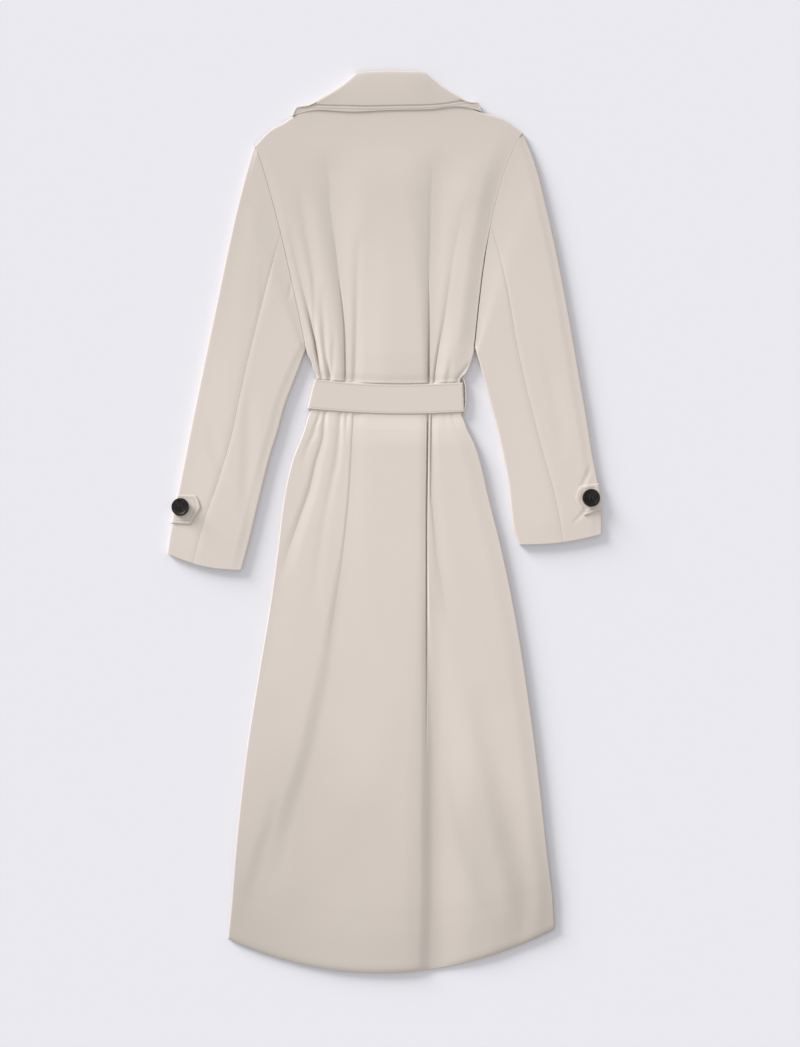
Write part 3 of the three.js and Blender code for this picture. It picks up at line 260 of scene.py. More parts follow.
def coat_cloth():
    """Smooth, dense cloth in a warm stone colour: a fine slanting rib, a faint unevenness in the dye,
    painted shade towards the shoulders, the hem and in soft patches, and a soft bloom at grazing light."""
    material, nodes, links, shader, place = new_material("coat_cloth")

    def clouds(scale, detail):
        return cloudy(nodes, links, place, scale, detail)

    def times(first, second):
        node = nodes.new("ShaderNodeMix")
        node.data_type, node.blend_type = "RGBA", "MULTIPLY"
        node.inputs["Factor"].default_value = 1
        links.new(first, node.inputs[MIX_FIRST])
        links.new(second, node.inputs[MIX_SECOND])
        return node.outputs[MIX_RESULT]

    split = nodes.new("ShaderNodeSeparateXYZ")
    links.new(place, split.inputs[0])
    # Painted shade: the cloth grows darker towards the shoulders and the hem.
    down = nodes.new("ShaderNodeMapRange")
    down.inputs["From Min"].default_value = PAINTED_SHADE_BY_HEIGHT[0][0]
    down.inputs["From Max"].default_value = PAINTED_SHADE_BY_HEIGHT[1][0]
    links.new(split.outputs["Y"], down.inputs["Value"])
    painted_shade_ramp = nodes.new("ShaderNodeValToRGB")
    stops = painted_shade_ramp.color_ramp.elements
    for index, (y, painted_shade) in enumerate(PAINTED_SHADE_BY_HEIGHT):
        share = (y - PAINTED_SHADE_BY_HEIGHT[0][0]) / (PAINTED_SHADE_BY_HEIGHT[1][0] - PAINTED_SHADE_BY_HEIGHT[0][0])
        stop = stops[index] if index < 2 else stops.new(share)
        stop.position = share
        stop.color = (painted_shade, painted_shade, painted_shade, 1)
    links.new(down.outputs["Result"], painted_shade_ramp.inputs["Fac"])
    dyed = mixed(nodes, links, clouds(DYE_SCALE, 3), CLOTH_COLOUR_DEEP, CLOTH_COLOUR)
    colour = times(dyed, painted_shade_ramp.outputs["Color"])
    # Soft patches of painted shade, each a little warmer than the cloth.
    for x, y, reach, painted_shade in PAINTED_SHADE_PATCHES:
        away = nodes.new("ShaderNodeVectorMath")
        away.operation = "DISTANCE"
        links.new(place, away.inputs[0])
        away.inputs[1].default_value = (x, y, 0)
        near = nodes.new("ShaderNodeMapRange")
        near.interpolation_type = "SMOOTHSTEP"
        near.inputs["From Min"].default_value = 0
        near.inputs["From Max"].default_value = reach
        links.new(away.outputs["Value"], near.inputs["Value"])
        corner = (painted_shade, painted_shade, painted_shade * PAINTED_SHADE_BLUE, 1)
        colour = times(colour, mixed(nodes, links, near.outputs["Result"], corner, WHITE))
    colour = times(colour, mixed(nodes, links, clouds(SPECK_SCALE, 2), SPECK_DARK, WHITE))
    links.new(colour, shader.inputs["Base Color"])

    rib = nodes.new("ShaderNodeTexWave")
    rib.bands_direction = "DIAGONAL"
    rib.inputs["Scale"].default_value = RIB_SCALE
    rib.inputs["Distortion"].default_value = RIB_WANDER
    links.new(place, rib.inputs["Vector"])
    relief = nodes.new("ShaderNodeMath")
    relief.operation = "MULTIPLY_ADD"
    links.new(clouds(FUZZ_SCALE, 2), relief.inputs[0])
    relief.inputs[1].default_value = FUZZ_SHARE
    links.new(rib.outputs["Fac"], relief.inputs[2])
    bump = nodes.new("ShaderNodeBump")
    bump.inputs["Strength"].default_value = RIB_STRENGTH
    bump.inputs["Distance"].default_value = RIB_HEIGHT
    links.new(relief.outputs[0], bump.inputs["Height"])
    links.new(bump.outputs["Normal"], shader.inputs["Normal"])
    rough = nodes.new("ShaderNodeMapRange")
    rough.inputs["To Min"].default_value = SMOOTHEST
    rough.inputs["To Max"].default_value = ROUGHEST
    links.new(clouds(WEAR_SCALE, 4), rough.inputs["Value"])
    links.new(rough.outputs["Result"], shader.inputs["Roughness"])
    shader.inputs["Specular IOR Level"].default_value = CLOTH_GLOSS
    shader.inputs["Sheen Weight"].default_value = CLOTH_BLOOM
    shader.inputs["Sheen Roughness"].default_value = BLOOM_ROUGHNESS
    return material


cloth = coat_cloth()

# The body's outline: y, left edge, right edge, height of the back, wall of the back and wall of
# the fronts.
BODY = [
    (-593, -225, 245, 7.4, 2.4, 2.4),
    (-545, -220, 242.5, 8.4, 2.4, 2.4),
    (-472, -214, 234, 8.7, 2.4, 2.4),
    (-343, -200, 219.5, 8.7, 2.4, 2.4),
    (-213, -180, 201.5, 8.7, 2.4, 2.4),
    (-127, -165.5, 187, 8.7, 2.4, 2.4),
    (-40, -153.5, 169, 8.7, 2.4, 2.4),
    (36, -144, 150, 8.7, 2.4, 2.4),
    (89, -132, 137.5, 8.7, 2.4, 2.4),
    (114, -122, 129, 8.7, 2.4, 2.4),
    (132, -114, 119.5, 8.6, 2.4, 2.4),
    (143, -110.5, 115.5, 7.9, 1.6, 1.6),
    (153, -106.5, 111.2, 7.1, 1.6, 1.6),
    (178, -102, 109.7, 7.1, 1.6, 1.6),
    (203, -98, 109.2, 7.1, 1.6, 1.6),
    (213, -102, 118, 7.9, 1.6, 1.6),
    (226, -105, 124, 8.1, 2.4, 1.8),
    (250, -112.4, 129.4, 8.2, 2.4, 1.8),
    (455, -112.4, 129.4, 8.2, 2.4, 1.8),
    (482, -112.4, 129.4, 8.1, 1.8, 1.8),
    (550, -112.4, 129.4, 8.1, 1.8, 1.8),
]
# How much higher the right edge lies than the left one.
SKEW = [(-593, 14), (-545, 8), (-472, 0), (226, 0), (250, 1.6)]
# The rise of the shoulders and the neckline over the line between the shoulders' tips: share of
# the way across, back and fronts.
SHOULDER_RISE = [
    (0, 0, 0),
    (0.06, 22, 22),
    (0.11, 31.6, 31.6),
    (0.14, 39, 37.6),
    (0.317, 66, 66),
    (0.36, 60, 44),
    (0.42, 57, 16),
    (0.507, 56, 5),
    (0.62, 57, 14),
    (0.66, 59, 42),
    (0.696, 61, 61),
    (0.835, 34.5, 34.5),
    (0.92, 23, 23),
    (1, 0, 0),
]
# Each armhole: x and y of the shoulder's tip, x and y of its bottom, and its curve inwards.
ARMHOLES = {"left": (-186.5, 541, -113, 249.2, 5.5), "right": (199.5, 559, 130, 250.8, -17)}
# Levels of the hem, the shoulders, the armpits and the belt.
HEM, TOP, ARMPIT, WAIST = -593, 550, 250, 178
# How far the middle of the hem hangs down, up to which level that is felt and how it fades, and
# the same for the shoulders' rise.
HEM_SAG, HEM_SAG_END, HEM_SAG_POWER = 56, -190, 1.4
RISE_START, RISE_POWER = 340, 1.5
# Ends and middle of the neckline, in x.
NECK_LEFT, NECK_RIGHT, CENTRE = -64, 82, 9
# Where the fronts' edges lie, and where the back steps up over both of them and down again.
LAP_LEFT, LAP_RIGHT, LAP_STEP, LAP_END = -36, 54, (-58, -41), (54.5, 56.5)
# The belt's ends in the plan, half its width, and the heights of its middle at both ends.
BELT_LEFT, BELT_RIGHT, BELT_HALF = -105.5, 114, 21
BELT_HEIGHT_LEFT, BELT_HEIGHT_RIGHT, BELT_SAG = 184, 179.5, 5
# How far from the waist the belt's own curve is felt: in full, and not any more.
WAIST_REACH = (30, 70)
# Gaps beside the armholes: all the way, how much more above the right armpit, and how far above
# it that fades.
ARMHOLE_GAP, RIGHT_GAP, RIGHT_GAP_FADE = 0.1, 1.1, (125, 180)
# The edges' rounding: how far in it reaches, and how round it is, 1 for a quarter circle.
SIDE_ROLL, SIDE_SQUARE = 1.5, 0.36

# The tables have a zero of their own.  The right belt loop, which is in them and in the frame,
# says how far that lies from the frame's.
loop_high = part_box("belt_loop_right")[1] / MM
LOOP_RIGHT_X, LOOP_TOP_Y = 116.7, 208
SHIFT = np.array([loop_high.x - LOOP_RIGHT_X, loop_high.y - LOOP_TOP_Y, 0])


def belt_middle(x):
    """y of the belt's middle line."""
    across = (x - BELT_LEFT) / (BELT_RIGHT - BELT_LEFT)
    sag = BELT_SAG * np.sin(math.pi * np.clip(across, 0, 1))
    return blend(BELT_HEIGHT_LEFT, BELT_HEIGHT_RIGHT, across) - sag


def armhole(side, upwards):
    """Edge of the body at an armhole, a share of the way up it."""
    tip_x, tip_y, pit_x, pit_y, bow = ARMHOLES[side]
    down = np.clip(1 - upwards, 0, 1)
    x = blend(pit_x, tip_x, upwards) + bow * np.sin(math.pi * down ** 0.7)
    return x, blend(pit_y, tip_y, upwards)


def body_edge(side, level):
    """x and y of the body's edge on one side, at levels from the hem to the shoulders."""
    sign = -1 if side == "left" else 1
    hem_x = curve(BODY, level)[0 if side == "left" else 1]
    hem_y = level + sign * curve(SKEW, level)[0] / 2
    arm_x, arm_y = armhole(side, (level - ARMPIT) / (TOP - ARMPIT))
    above = level > ARMPIT
    over_armpit = ease(ARMPIT + RIGHT_GAP_FADE[0], ARMPIT + RIGHT_GAP_FADE[1], level)
    open_right = RIGHT_GAP * (1 - over_armpit) * (side == "right")
    gap = ARMHOLE_GAP + open_right
    return np.where(above, arm_x - sign * gap, hem_x), np.where(above, arm_y, hem_y)


def body_y(level, x, column, neck_x=None):
    """y of a point of the body, with the curves of the hem, the waist, the shoulders and the
    neckline.  column is 0 for the back and 1 for the fronts."""
    left_x, left_y = body_edge("left", level)
    right_x, right_y = body_edge("right", level)
    neck_x = x if neck_x is None else neck_x
    across = np.clip((x - left_x) / (right_x - left_x), 0, 1)
    neck_across = np.clip((neck_x - left_x) / (right_x - left_x), 0, 1)
    at_hem = 1 - np.clip((level - HEM) / (HEM_SAG_END - HEM), 0, 1)
    at_top = np.clip((level - RISE_START) / (TOP - RISE_START), 0, 1)
    sag = HEM_SAG * 4 * across * (1 - across) * at_hem ** HEM_SAG_POWER
    at_waist = 1 - ease(*WAIST_REACH, np.abs(level - WAIST))
    rise = curve(SHOULDER_RISE, neck_across)[column] * at_top ** RISE_POWER
    y = blend(left_y, right_y, across) - sag + rise
    return y + (belt_middle(x) - WAIST) * at_waist


def under_belt(level, start=4, end=15):
    """1 under the belt and 0 away from it, from start to end past its edges."""
    return 1 - ease(start, end, np.abs(level - WAIST) - BELT_HALF)


# What lies under the fronts: a layer of the belt, two where its ends meet, and the collar.
UNDER_BELT, UNDER_COLLAR = 1.7, 2.1
# Where the fronts come down from two layers to one in x, and rise over the collar in y.
BELT_STEP, COLLAR_STEP = (-62, -44), (462, 482)


def front_lift(level, x, y):
    """How far the fronts stand off the surface, over the belt and over the collar's leaves."""
    over_belt_end = 1 - ease(*BELT_STEP, x)
    over_collar = ease(*COLLAR_STEP, y)
    return UNDER_BELT * (1 + over_belt_end) * under_belt(level) + UNDER_COLLAR * over_collar


# Creases of the back above the belt: y, x, rise, reach to the left, reach to the right.
CREASES_ABOVE = [
    # From the left armhole to the belt, with a narrow band beside them.
    [(430, -142, 0, 12, 16), (392, -131, -0.7, 13, 18), (348, -121, -1, 12, 16),
     (327, -115.5, -1.3, 10, 14), (305, -110.5, -1.8, 8, 12), (284, -105.5, -2.2, 7, 10),
     (262, -100.5, -2.5, 6, 9), (245, -97.5, -2.4, 6, 9), (230, -95, -1.7, 5, 8), (219, -93, -1.2, 4, 7),
     (205, -90.5, -1.2, 4, 7), (190, -90, 0, 4, 7)],
    [(490, -128, 0, 16, 26), (464, -121, -0.6, 16, 26), (413, -113, -0.8, 12, 22),
     (370, -106, -0.9, 9, 18), (348, -103, -0.9, 7, 16), (327, -102, -0.8, 5, 14),
     (305, -101.5, -0.8, 4, 12), (284, -101, -0.6, 3, 10), (270, -100, 0, 3, 10)],
    [(225, -103, 0, 4, 5), (212, -99.5, -0.7, 4, 5), (203, -98, -0.8, 4, 5), (190, -98, 0, 4, 5)],
    # Two short ones that meet at the belt.
    [(340, -90, 0, 8, 10), (310, -90.5, -0.7, 8, 10), (284, -88.5, -1.1, 8, 10),
     (262, -87.5, -1.4, 7, 9), (245, -86, -1.7, 6, 8), (230, -83.5, -2.1, 6, 7), (219, -81, -2.3, 6, 6),
     (205, -79.5, -2.3, 6, 6), (190, -79.5, 0, 6, 6)],
    [(280, -74, 0, 6, 8), (262, -73, -0.3, 6, 8), (245, -75, -0.5, 5, 8), (230, -76, -0.8, 4, 8),
     (219, -76.5, -1.2, 3, 8), (205, -78, -1.3, 2.5, 8), (190, -78, 0, 2.5, 8)],
    # The deepest crease on the left: a broad hollow high on the back that narrows to a fold.
    [(600, -92, 0, 40, 50), (550, -90, -0.9, 40, 56), (492, -80, -1.9, 38, 56), (464, -79, -2.3, 34, 54),
     (435, -76, -2.6, 30, 50), (392, -70, -2.9, 22, 44), (348, -65, -2.8, 19, 38),
     (305, -60, -2.6, 16, 32), (262, -57, -2.4, 12, 30), (230, -56.5, -2.3, 10, 30),
     (205, -56.5, -2.2, 8, 28), (190, -57, 0, 8, 28)],
    [(430, -34, 0, 18, 50), (392, -38, -0.9, 17, 50), (348, -39.5, -1.5, 14, 50),
     (305, -40.5, -1.8, 10, 50), (262, -41.5, -1.9, 8, 50), (230, -42.5, -1.9, 7, 50),
     (205, -44, -1.9, 6, 50), (190, -44.5, 0, 6, 50)],
    # The deepest crease on the right, and the next one.
    [(600, 60, 0, 44, 50), (550, 60, -0.8, 46, 56), (492, 68.5, -2, 44, 56), (464, 66, -2.5, 40, 54),
     (435, 66, -2.7, 34, 50), (392, 65, -2.8, 26, 46), (348, 64, -2.7, 20, 40), (305, 64, -2.6, 15, 36),
     (262, 63.8, -2.5, 12, 34), (230, 63.6, -2.4, 10, 28), (205, 63.5, -2.3, 8, 24),
     (190, 63.5, 0, 8, 24)],
    [(470, 116, 0, 18, 40), (435, 110, -0.6, 18, 40), (392, 101, -0.8, 16, 40), (348, 94, -1, 12, 36),
     (305, 88, -1.2, 9, 32), (262, 80.5, -1.3, 6, 26), (230, 74.5, -1.4, 4.5, 22),
     (205, 71.5, -1.4, 3.5, 16), (190, 71, 0, 3.5, 16)],
    [(240, 96, 0, 8, 9), (230, 93.5, -0.3, 7, 9), (219, 92.5, -0.6, 6, 9), (205, 90, -0.8, 5, 9),
     (190, 90, 0, 5, 9)],
    [(232, 124, 0, 8, 8), (219, 115, -1, 7, 9), (209, 107, -1.2, 6, 8), (203, 105, -1.2, 6, 8),
     (190, 105, 0, 6, 8)],
]
# Creases of the back below the belt, in the same columns.
CREASES_BELOW = [
    # From the belt towards the left edge.
    [(175, -93, 0, 4, 5), (165, -93, -0.9, 4, 5), (150, -95, -1, 5, 6), (140, -99, -1, 5, 6),
     (125, -103, -0.8, 6, 8), (108, -111, -0.5, 7, 8), (89, -116, -0.22, 8, 9), (75, -120, 0, 8, 9)],
    [(175, -84, 0, 7, 5), (165, -84.5, -1.3, 7, 5), (150, -86, -1.3, 8, 6), (140, -87, -1.2, 7, 8),
     (125, -88, -1.1, 7, 10), (108, -92, -1, 7, 12), (89, -98, -1.1, 7, 13), (46, -108, -1.3, 9, 15),
     (17, -118, -1.3, 10, 16), (-12, -128, -1.2, 12, 18), (-48, -140, -0.7, 14, 20),
     (-84, -148, 0, 14, 20)],
    [(175, -62, 0, 9, 3), (165, -62.5, -1.6, 9, 3), (150, -63, -1.6, 10, 3.5), (125, -65, -1.2, 10, 6),
     (89, -69.5, -0.9, 9, 10), (46, -79, -0.6, 10, 12), (-12, -90, -0.4, 12, 14),
     (-84, -99, -0.3, 14, 16), (-130, -104, 0, 14, 16)],
    [(175, -53, 0, 7, 2.5), (165, -53, -1.2, 7, 2.5), (150, -53.5, -1.1, 8, 3), (140, -54, -0.7, 8, 3),
     (120, -55, 0, 7, 4)],
    # The long fold left of the middle, a fine line at first and a broad one lower down.
    [(175, -44, 0, 4, 20), (165, -44, -1.1, 4, 20), (150, -44.5, -0.9, 3.5, 20),
     (125, -46, -0.7, 3.5, 24), (46, -50.5, -0.7, 3.5, 30), (-12, -56, -0.7, 4, 34),
     (-48, -60, -0.8, 6, 40), (-84, -65, -0.9, 9, 50), (-127, -72, -0.8, 10, 60),
     (-200, -82, 0, 12, 70)],
    # The long pressed fold right of the middle, its left side over its right one.
    [(175, 62, 0, 14, 1.6), (165, 62.5, -1.6, 14, 1.6), (89, 62, -1.6, 14, 1.6),
     (-12, 61, -1.6, 14, 1.6), (-100, 61, -1.5, 14, 3), (-170, 60, -0.8, 14, 8), (-240, 60, 0, 14, 14)],
    [(175, 69, 0, 3, 10), (165, 69, -0.9, 3, 10), (150, 68.5, -1, 3, 12), (125, 67.5, -1.1, 2.5, 12),
     (89, 67.5, -1, 2.5, 14), (46, 67.5, -0.8, 3, 16), (17, 69, -0.8, 4, 16), (-12, 72, -0.7, 6, 18),
     (-48, 75, -0.6, 8, 20), (-84, 82, -0.5, 12, 22), (-127, 88, -0.3, 14, 24), (-170, 94, 0, 16, 26)],
    # Short ones under the belt on the right.
    [(175, 86, 0, 3, 4), (165, 86, -0.5, 3, 4), (150, 87.5, -0.3, 4, 4), (130, 91, 0, 4, 4)],
    [(175, 95, 0, 3, 4), (165, 95, -0.6, 3, 4), (150, 97.5, -0.6, 3, 4), (138, 102, -0.22, 4, 5),
     (125, 106, 0, 4, 5)],
    [(175, 108, 0, 3, 4), (162, 110, -0.7, 3, 4), (148, 116, -0.7, 3, 4), (134, 122, -0.4, 4, 5),
     (120, 128, 0, 4, 5)],
]
# Broad, shallow waves of the back, in the same columns.
WAVES = [
    [(560, 124, 0, 40, 34), (500, 130, 0.6, 36, 32), (430, 128, 0.5, 30, 26), (360, 120, 0.4, 26, 22),
     (300, 112, 0, 24, 20)],
    # The long pressed fold opens downwards: broad, and a steeper step within it.
    [(-60, 72, 0, 26, 60), (-127, 73, -0.8, 30, 80), (-213, 75, -1.4, 36, 90), (-300, 76, -1.8, 42, 100),
     (-400, 77, -2.1, 48, 100), (-500, 77, -2.3, 50, 100), (-640, 76, -2.3, 50, 100)],
    [(-100, 63, 0, 8, 20), (-170, 64, -1.3, 12, 36), (-256, 67, -2.5, 16, 50), (-343, 70, -3.5, 19, 60),
     (-430, 70, -3.5, 20, 60), (-520, 70, -3, 20, 60), (-640, 67, -2.4, 20, 60)],
    # The long fold left of the middle.
    [(-60, -54, 0, 20, 80), (-127, -63, -0.9, 20, 100), (-200, -74, -1.5, 22, 110),
     (-256, -85, -1.9, 24, 110), (-300, -94, -2.1, 25, 110), (-343, -104, -2.2, 26, 110),
     (-386, -118, -2.0, 26, 100), (-429, -130, -1.6, 26, 90), (-472, -140, -0.9, 26, 80),
     (-520, -148, 0, 26, 70)],
    # Two that open towards the hem on the right.
    [(-230, 138, 0, 24, 50), (-256, 143, -0.5, 26, 50), (-300, 149, -1, 28, 46),
     (-343, 160, -1.5, 30, 44), (-386, 168, -1.9, 30, 40), (-429, 179, -2.1, 32, 36),
     (-472, 188, -2.1, 34, 32), (-501, 197, -2, 34, 28), (-544, 202, -1.6, 34, 24),
     (-588, 196, -1, 34, 24), (-640, 186, -0.6, 34, 24)],
    [(-330, 96, 0, 16, 40), (-386, 102, -0.7, 20, 44), (-429, 115, -1.1, 24, 44),
     (-472, 126, -1.3, 26, 44), (-501, 138, -1.3, 28, 40), (-544, 156, -1.1, 30, 30),
     (-575, 168, -0.7, 30, 24), (-605, 176, 0, 28, 20)],
    # Soft ones on the left.
    [(40, -138, 0, 14, 30), (-12, -146, -0.4, 14, 30), (-84, -152, -0.6, 16, 34),
     (-170, -165, -0.5, 18, 36), (-250, -175, 0, 18, 36)],
    [(-390, -152, 0, 16, 40), (-429, -158, -0.7, 18, 40), (-472, -172, -1.1, 20, 44),
     (-501, -178, -1.1, 22, 46), (-523, -184, -0.9, 24, 50), (-560, -194, -0.4, 26, 50),
     (-600, -200, 0, 26, 50)],
]
# Where a fold closes over the next one: y, x, depth, half width.
SLOTS = [
    [(310, -110, 0, 1.4), (284, -106, 2.2, 1.4), (262, -101, 3.6, 1.5), (245, -98, 4.2, 1.5),
     (230, -95.5, 2.4, 1.2), (219, -93.5, 0.8, 1), (205, -91, 0, 1)],
    [(235, -83.5, 0, 1), (219, -80.5, 1.2, 1), (205, -79.5, 2.4, 1.1), (190, -79.5, 0, 1.1)],
    [(350, -65, 0, 1.4), (305, -60, 1.6, 1.4), (262, -57, 2.2, 1.4), (205, -56.5, 2.6, 1.3),
     (190, -57, 0, 1.3)],
    [(350, 64, 0, 1.4), (305, 64, 1.6, 1.4), (262, 63.8, 3, 1.5), (230, 63.6, 4.5, 1.6),
     (205, 63.5, 5, 1.7), (190, 63.5, 0, 1.7)],
    [(270, 81, 0, 1), (240, 76, 0.8, 1), (205, 71.5, 1.2, 1), (190, 71, 0, 1)],
    [(175, 62.5, 0, 1.6), (165, 62.5, 5.5, 1.6), (89, 61.5, 5.5, 1.5), (-12, 60.5, 5, 1.4),
     (-84, 60.5, 5, 1.3), (-170, 60.5, 3.6, 1.3), (-256, 60.5, 1.6, 1.3), (-330, 60.5, 0, 1.3)],
    [(175, 67.5, 0, 1), (165, 67.5, 2, 1), (89, 66.5, 2, 0.9), (46, 66.5, 1, 0.9), (20, 67, 0, 0.9)],
]
# Turned-up hem: how far above the edge the turning ends, and how much the cloth sinks there.
HEM_TURNING, HEM_TURNING_DEPTH = 66, 0.2
# How much fuller than its solid the cloth lies, above the belt, below it and over the fronts' lap,
# and how far it swells over the belt's upper edge.
FULLNESS_ABOVE, FULLNESS_BELOW, FULLNESS_LAP, BELT_BULGE = 2.2, 2.4, 0.7, 1.3
# Heights of the cloth where the belt holds it down and at the seams of the armholes.
HELD_BY_BELT, ARMHOLE_SEAM = 7.1, 8.1
# How far in its hem's turned edge and its sides reach their full height, and the least that it
# keeps clear of the fronts.
HEM_ROLL, SEAM_REACH_LEFT, SEAM_REACH_RIGHT, LEAST_OVER_FRONTS = 5, (-2, 12), (-1, 7), 0.9
# Shares of the fullness at the hem, at the left side and, below the armpit, at the right side.
FULL_AT_HEM, FULL_AT_LEFT, FULL_AT_RIGHT = 0.3, 0.35, 0.45
# How far the fullness takes to come back from the hem, the left side (a share of the way across),
# the right side and the belt, and between which heights it dies away under the collar.
HEM_REACH, LEFT_REACH, RIGHT_REACH, BELT_REACH, NECK_FADE = 90, 0.7, 26, (3, 50), (470, 585)
# Between which heights the folds die away under the collar, and where the fronts lap in x.
FOLD_FADE, LAP_REACH = (500, 545), (-150, 0, 60, 84)
# How wide the hem's turned edge sinks, and how far from the belt the cloth comes up and swells.
TURNING_WIDTH, BELT_EDGE, BULGE_REACH = 4, (0.2, 1.8), (0.3, 1.8, 3, 50)
# Levels between which the armholes' shapes take over: of the right side's fullness, of the sides'
# edges, of the walls' edges, and of the right one's softer edge.
PULL_FADE, SIDE_FADE = (ARMPIT - 24, ARMPIT + 16), (ARMPIT - 12, ARMPIT + 24)
SEAT_FADE, SOFT_FADE = (ARMPIT, ARMPIT + 20), (ARMPIT + 60, ARMPIT + 150)
# Where down the wall its sides meet: in general, at the armholes and low on the right one.
MIDDLE_SEAT, ARMHOLE_SEAT, RIGHT_SEAT = 0.5, 0.2, 0.6
# Share of the height at the hem's very edge, how far its roll starts outside it, how far the
# shoulders' edges lean out on the left and right, and the least wall.
HEM_EDGE, HEM_START, SHOULDER_LEANS, LEAST_WALL = 0.35, 0.2, (-0.6, 0.5), 0.05
BACK_COLUMNS = 196


def back_puff(level, x, y):
    """How much fuller than its solid the cloth of the back lies, away from all that holds it."""
    left, right = body_edge("left", level)[0], body_edge("right", level)[0]
    across = (x - left) / (right - left)
    from_belt = np.abs(level - WAIST) - BELT_HALF
    below_armpit = 1 - ease(*PULL_FADE, level)
    at_right = blend(ease(0, RIGHT_REACH, right - x), 1, FULL_AT_RIGHT * below_armpit)
    at_hem = blend(FULL_AT_HEM, 1, ease(HEM, HEM + HEM_REACH, level))
    fullness = blend(FULLNESS_BELOW, FULLNESS_ABOVE, level > WAIST)
    at_left = blend(FULL_AT_LEFT, 1, ease(0, LEFT_REACH, across))
    under_collar = 1 - ease(*NECK_FADE, y)
    return fullness * at_left * at_right * ease(*BELT_REACH, from_belt) * under_collar * at_hem


def back_outer(level, x):
    """The upper side of the back, the way it faces, and the height of what lies under it."""
    left, right = body_edge("left", level)[0], body_edge("right", level)[0]
    y = body_y(level, x, 0)
    _, _, height, _, front = curve(BODY, level)
    folds = fold_rise(CREASES_ABOVE, x, y, crisp=1) + fold_rise(CREASES_BELOW, x, y, crisp=1)
    folds += fold_rise(WAVES, x, y) - slot_depth(SLOTS, x, y)
    over_lap = plateau(*LAP_REACH, x)
    from_hem = level - HEM
    turning = -HEM_TURNING_DEPTH * np.exp(-(((from_hem - HEM_TURNING) / TURNING_WIDTH) ** 2))
    formed = FULLNESS_LAP * over_lap + folds + turning
    free = formed * (1 - ease(*FOLD_FADE, y)) + back_puff(level, x, y)
    from_belt = np.abs(level - WAIST) - BELT_HALF
    bulge = plateau(*BULGE_REACH, from_belt) * (level > WAIST)
    top = blend(height + free + BELT_BULGE * bulge, HELD_BY_BELT, under_belt(level, *BELT_EDGE))
    floor = front_lift(level, x, y) + front + SEAM_GAP
    lapped = plateau(*LAP_STEP, *LAP_END, x)
    top = np.maximum(top, floor + lapped * (front + SEAM_GAP) + LEAST_OVER_FRONTS)
    to_side = np.minimum(x - left, right - x)
    roll = np.arccos(1 - np.clip(to_side / SIDE_ROLL, 0, 1))
    rolled = floor + (top - floor) * np.sin(roll) ** SIDE_SQUARE
    on_left = x < CENTRE
    at_seam = np.where(on_left, ease(*SEAM_REACH_LEFT, to_side), ease(*SEAM_REACH_RIGHT, to_side))
    pulled = blend(ARMHOLE_SEAM, top, at_seam)
    at_armhole = ease(*SIDE_FADE, level)
    beside = blend(rolled, pulled, at_armhole)
    on_shoulder = (x < NECK_LEFT - 1) | (x > NECK_RIGHT + 1)
    shoulder_roll = np.arccos(1 - np.clip((TOP - level) / SIDE_ROLL, 0, 1))
    shoulder = np.where(on_shoulder, shoulder_roll, math.pi / 2)
    hem_roll = np.arccos(1 - np.clip((from_hem + HEM_START) / HEM_ROLL, 0, 1))
    rise = (beside - floor) * np.sin(shoulder) * blend(HEM_EDGE, 1, np.sin(hem_roll))
    outwards = np.where(x - left < right - x, -1, 1) * np.cos(roll) * (1 - at_armhole)
    upwards = np.sqrt(1 - outwards ** 2) * np.sin(shoulder)
    sideways = outwards + np.where(on_left, *SHOULDER_LEANS) * np.cos(shoulder)
    normal = points(sideways, np.cos(shoulder), upwards)
    normal /= np.linalg.norm(normal, axis=-1, keepdims=True)
    return points(x, y, floor + rise), normal, floor


# Rows of points, closer together at the belt and its edges, and columns that crowd round folds.
levels = [*np.arange(HEM, 110, 6.4), *np.arange(110, 154, 2.8), *np.arange(154, 159, 0.8)]
levels += [*np.arange(159, 197, 6), *np.arange(197, 205, 0.7), *np.arange(205, 262, 2.8)]
levels = with_rims([*levels, *np.arange(262, 520, 6), *np.arange(520, TOP + 0.1, 3)])
level = levels[:, None]
left_edge, right_edge = body_edge("left", levels)[0], body_edge("right", levels)[0]


def fold_line(above, below, closer, reach):
    """A line that the columns of points crowd round: a crease above the belt and one below."""
    line_above, line_below = curve(CREASES_ABOVE[above], levels)[0], curve(CREASES_BELOW[below], levels)[0]
    return np.where(levels > WAIST, line_above, line_below), closer, reach


fold_lines = [fold_line(7, 5, 9, 4), fold_line(5, 4, 5, 4), fold_line(0, 1, 5, 5), fold_line(8, 6, 2, 5)]
fold_lines += [(left_edge, 3, 5), (right_edge, 3, 5)]
inside_left, inside_right = left_edge + ROUND_EDGE[-1], right_edge - ROUND_EDGE[-1]
columns = crowded(inside_left, inside_right, BACK_COLUMNS, fold_lines)
rims = np.array(ROUND_EDGE[:-1])
columns = np.hstack([left_edge[:, None] + rims, columns, right_edge[:, None] - rims[::-1]])
outer, normal, floor = back_outer(level, columns)
wall = curve(BODY, level)[3][..., None]
inner = outer - normal * wall
inner[..., 2] = np.maximum(inner[..., 2], np.minimum(floor, outer[..., 2] - LEAST_WALL))
right_seat = blend(RIGHT_SEAT, ARMHOLE_SEAT, ease(*SOFT_FADE, level))
seat = blend(MIDDLE_SEAT, np.where(columns < CENTRE, ARMHOLE_SEAT, right_seat), ease(*SEAT_FADE, level))
back = shell("back_cloth", outer + SHIFT, inner + SHIFT, cloth, seat=seat)
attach(back, "root")
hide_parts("back")

# ---- Fronts -------------------------------------------------------------------------------
# Two pieces of the same cloth that lie flat on the surface, the left one on the right one where
# they lap.  They are sewn to the back at the sides and shoulders, and only their edges show.

# Between which levels the fronts' edges follow the neckline, and about how wide a front is.
NECK_STEP, FRONT_WIDTH = (508, 541), 200


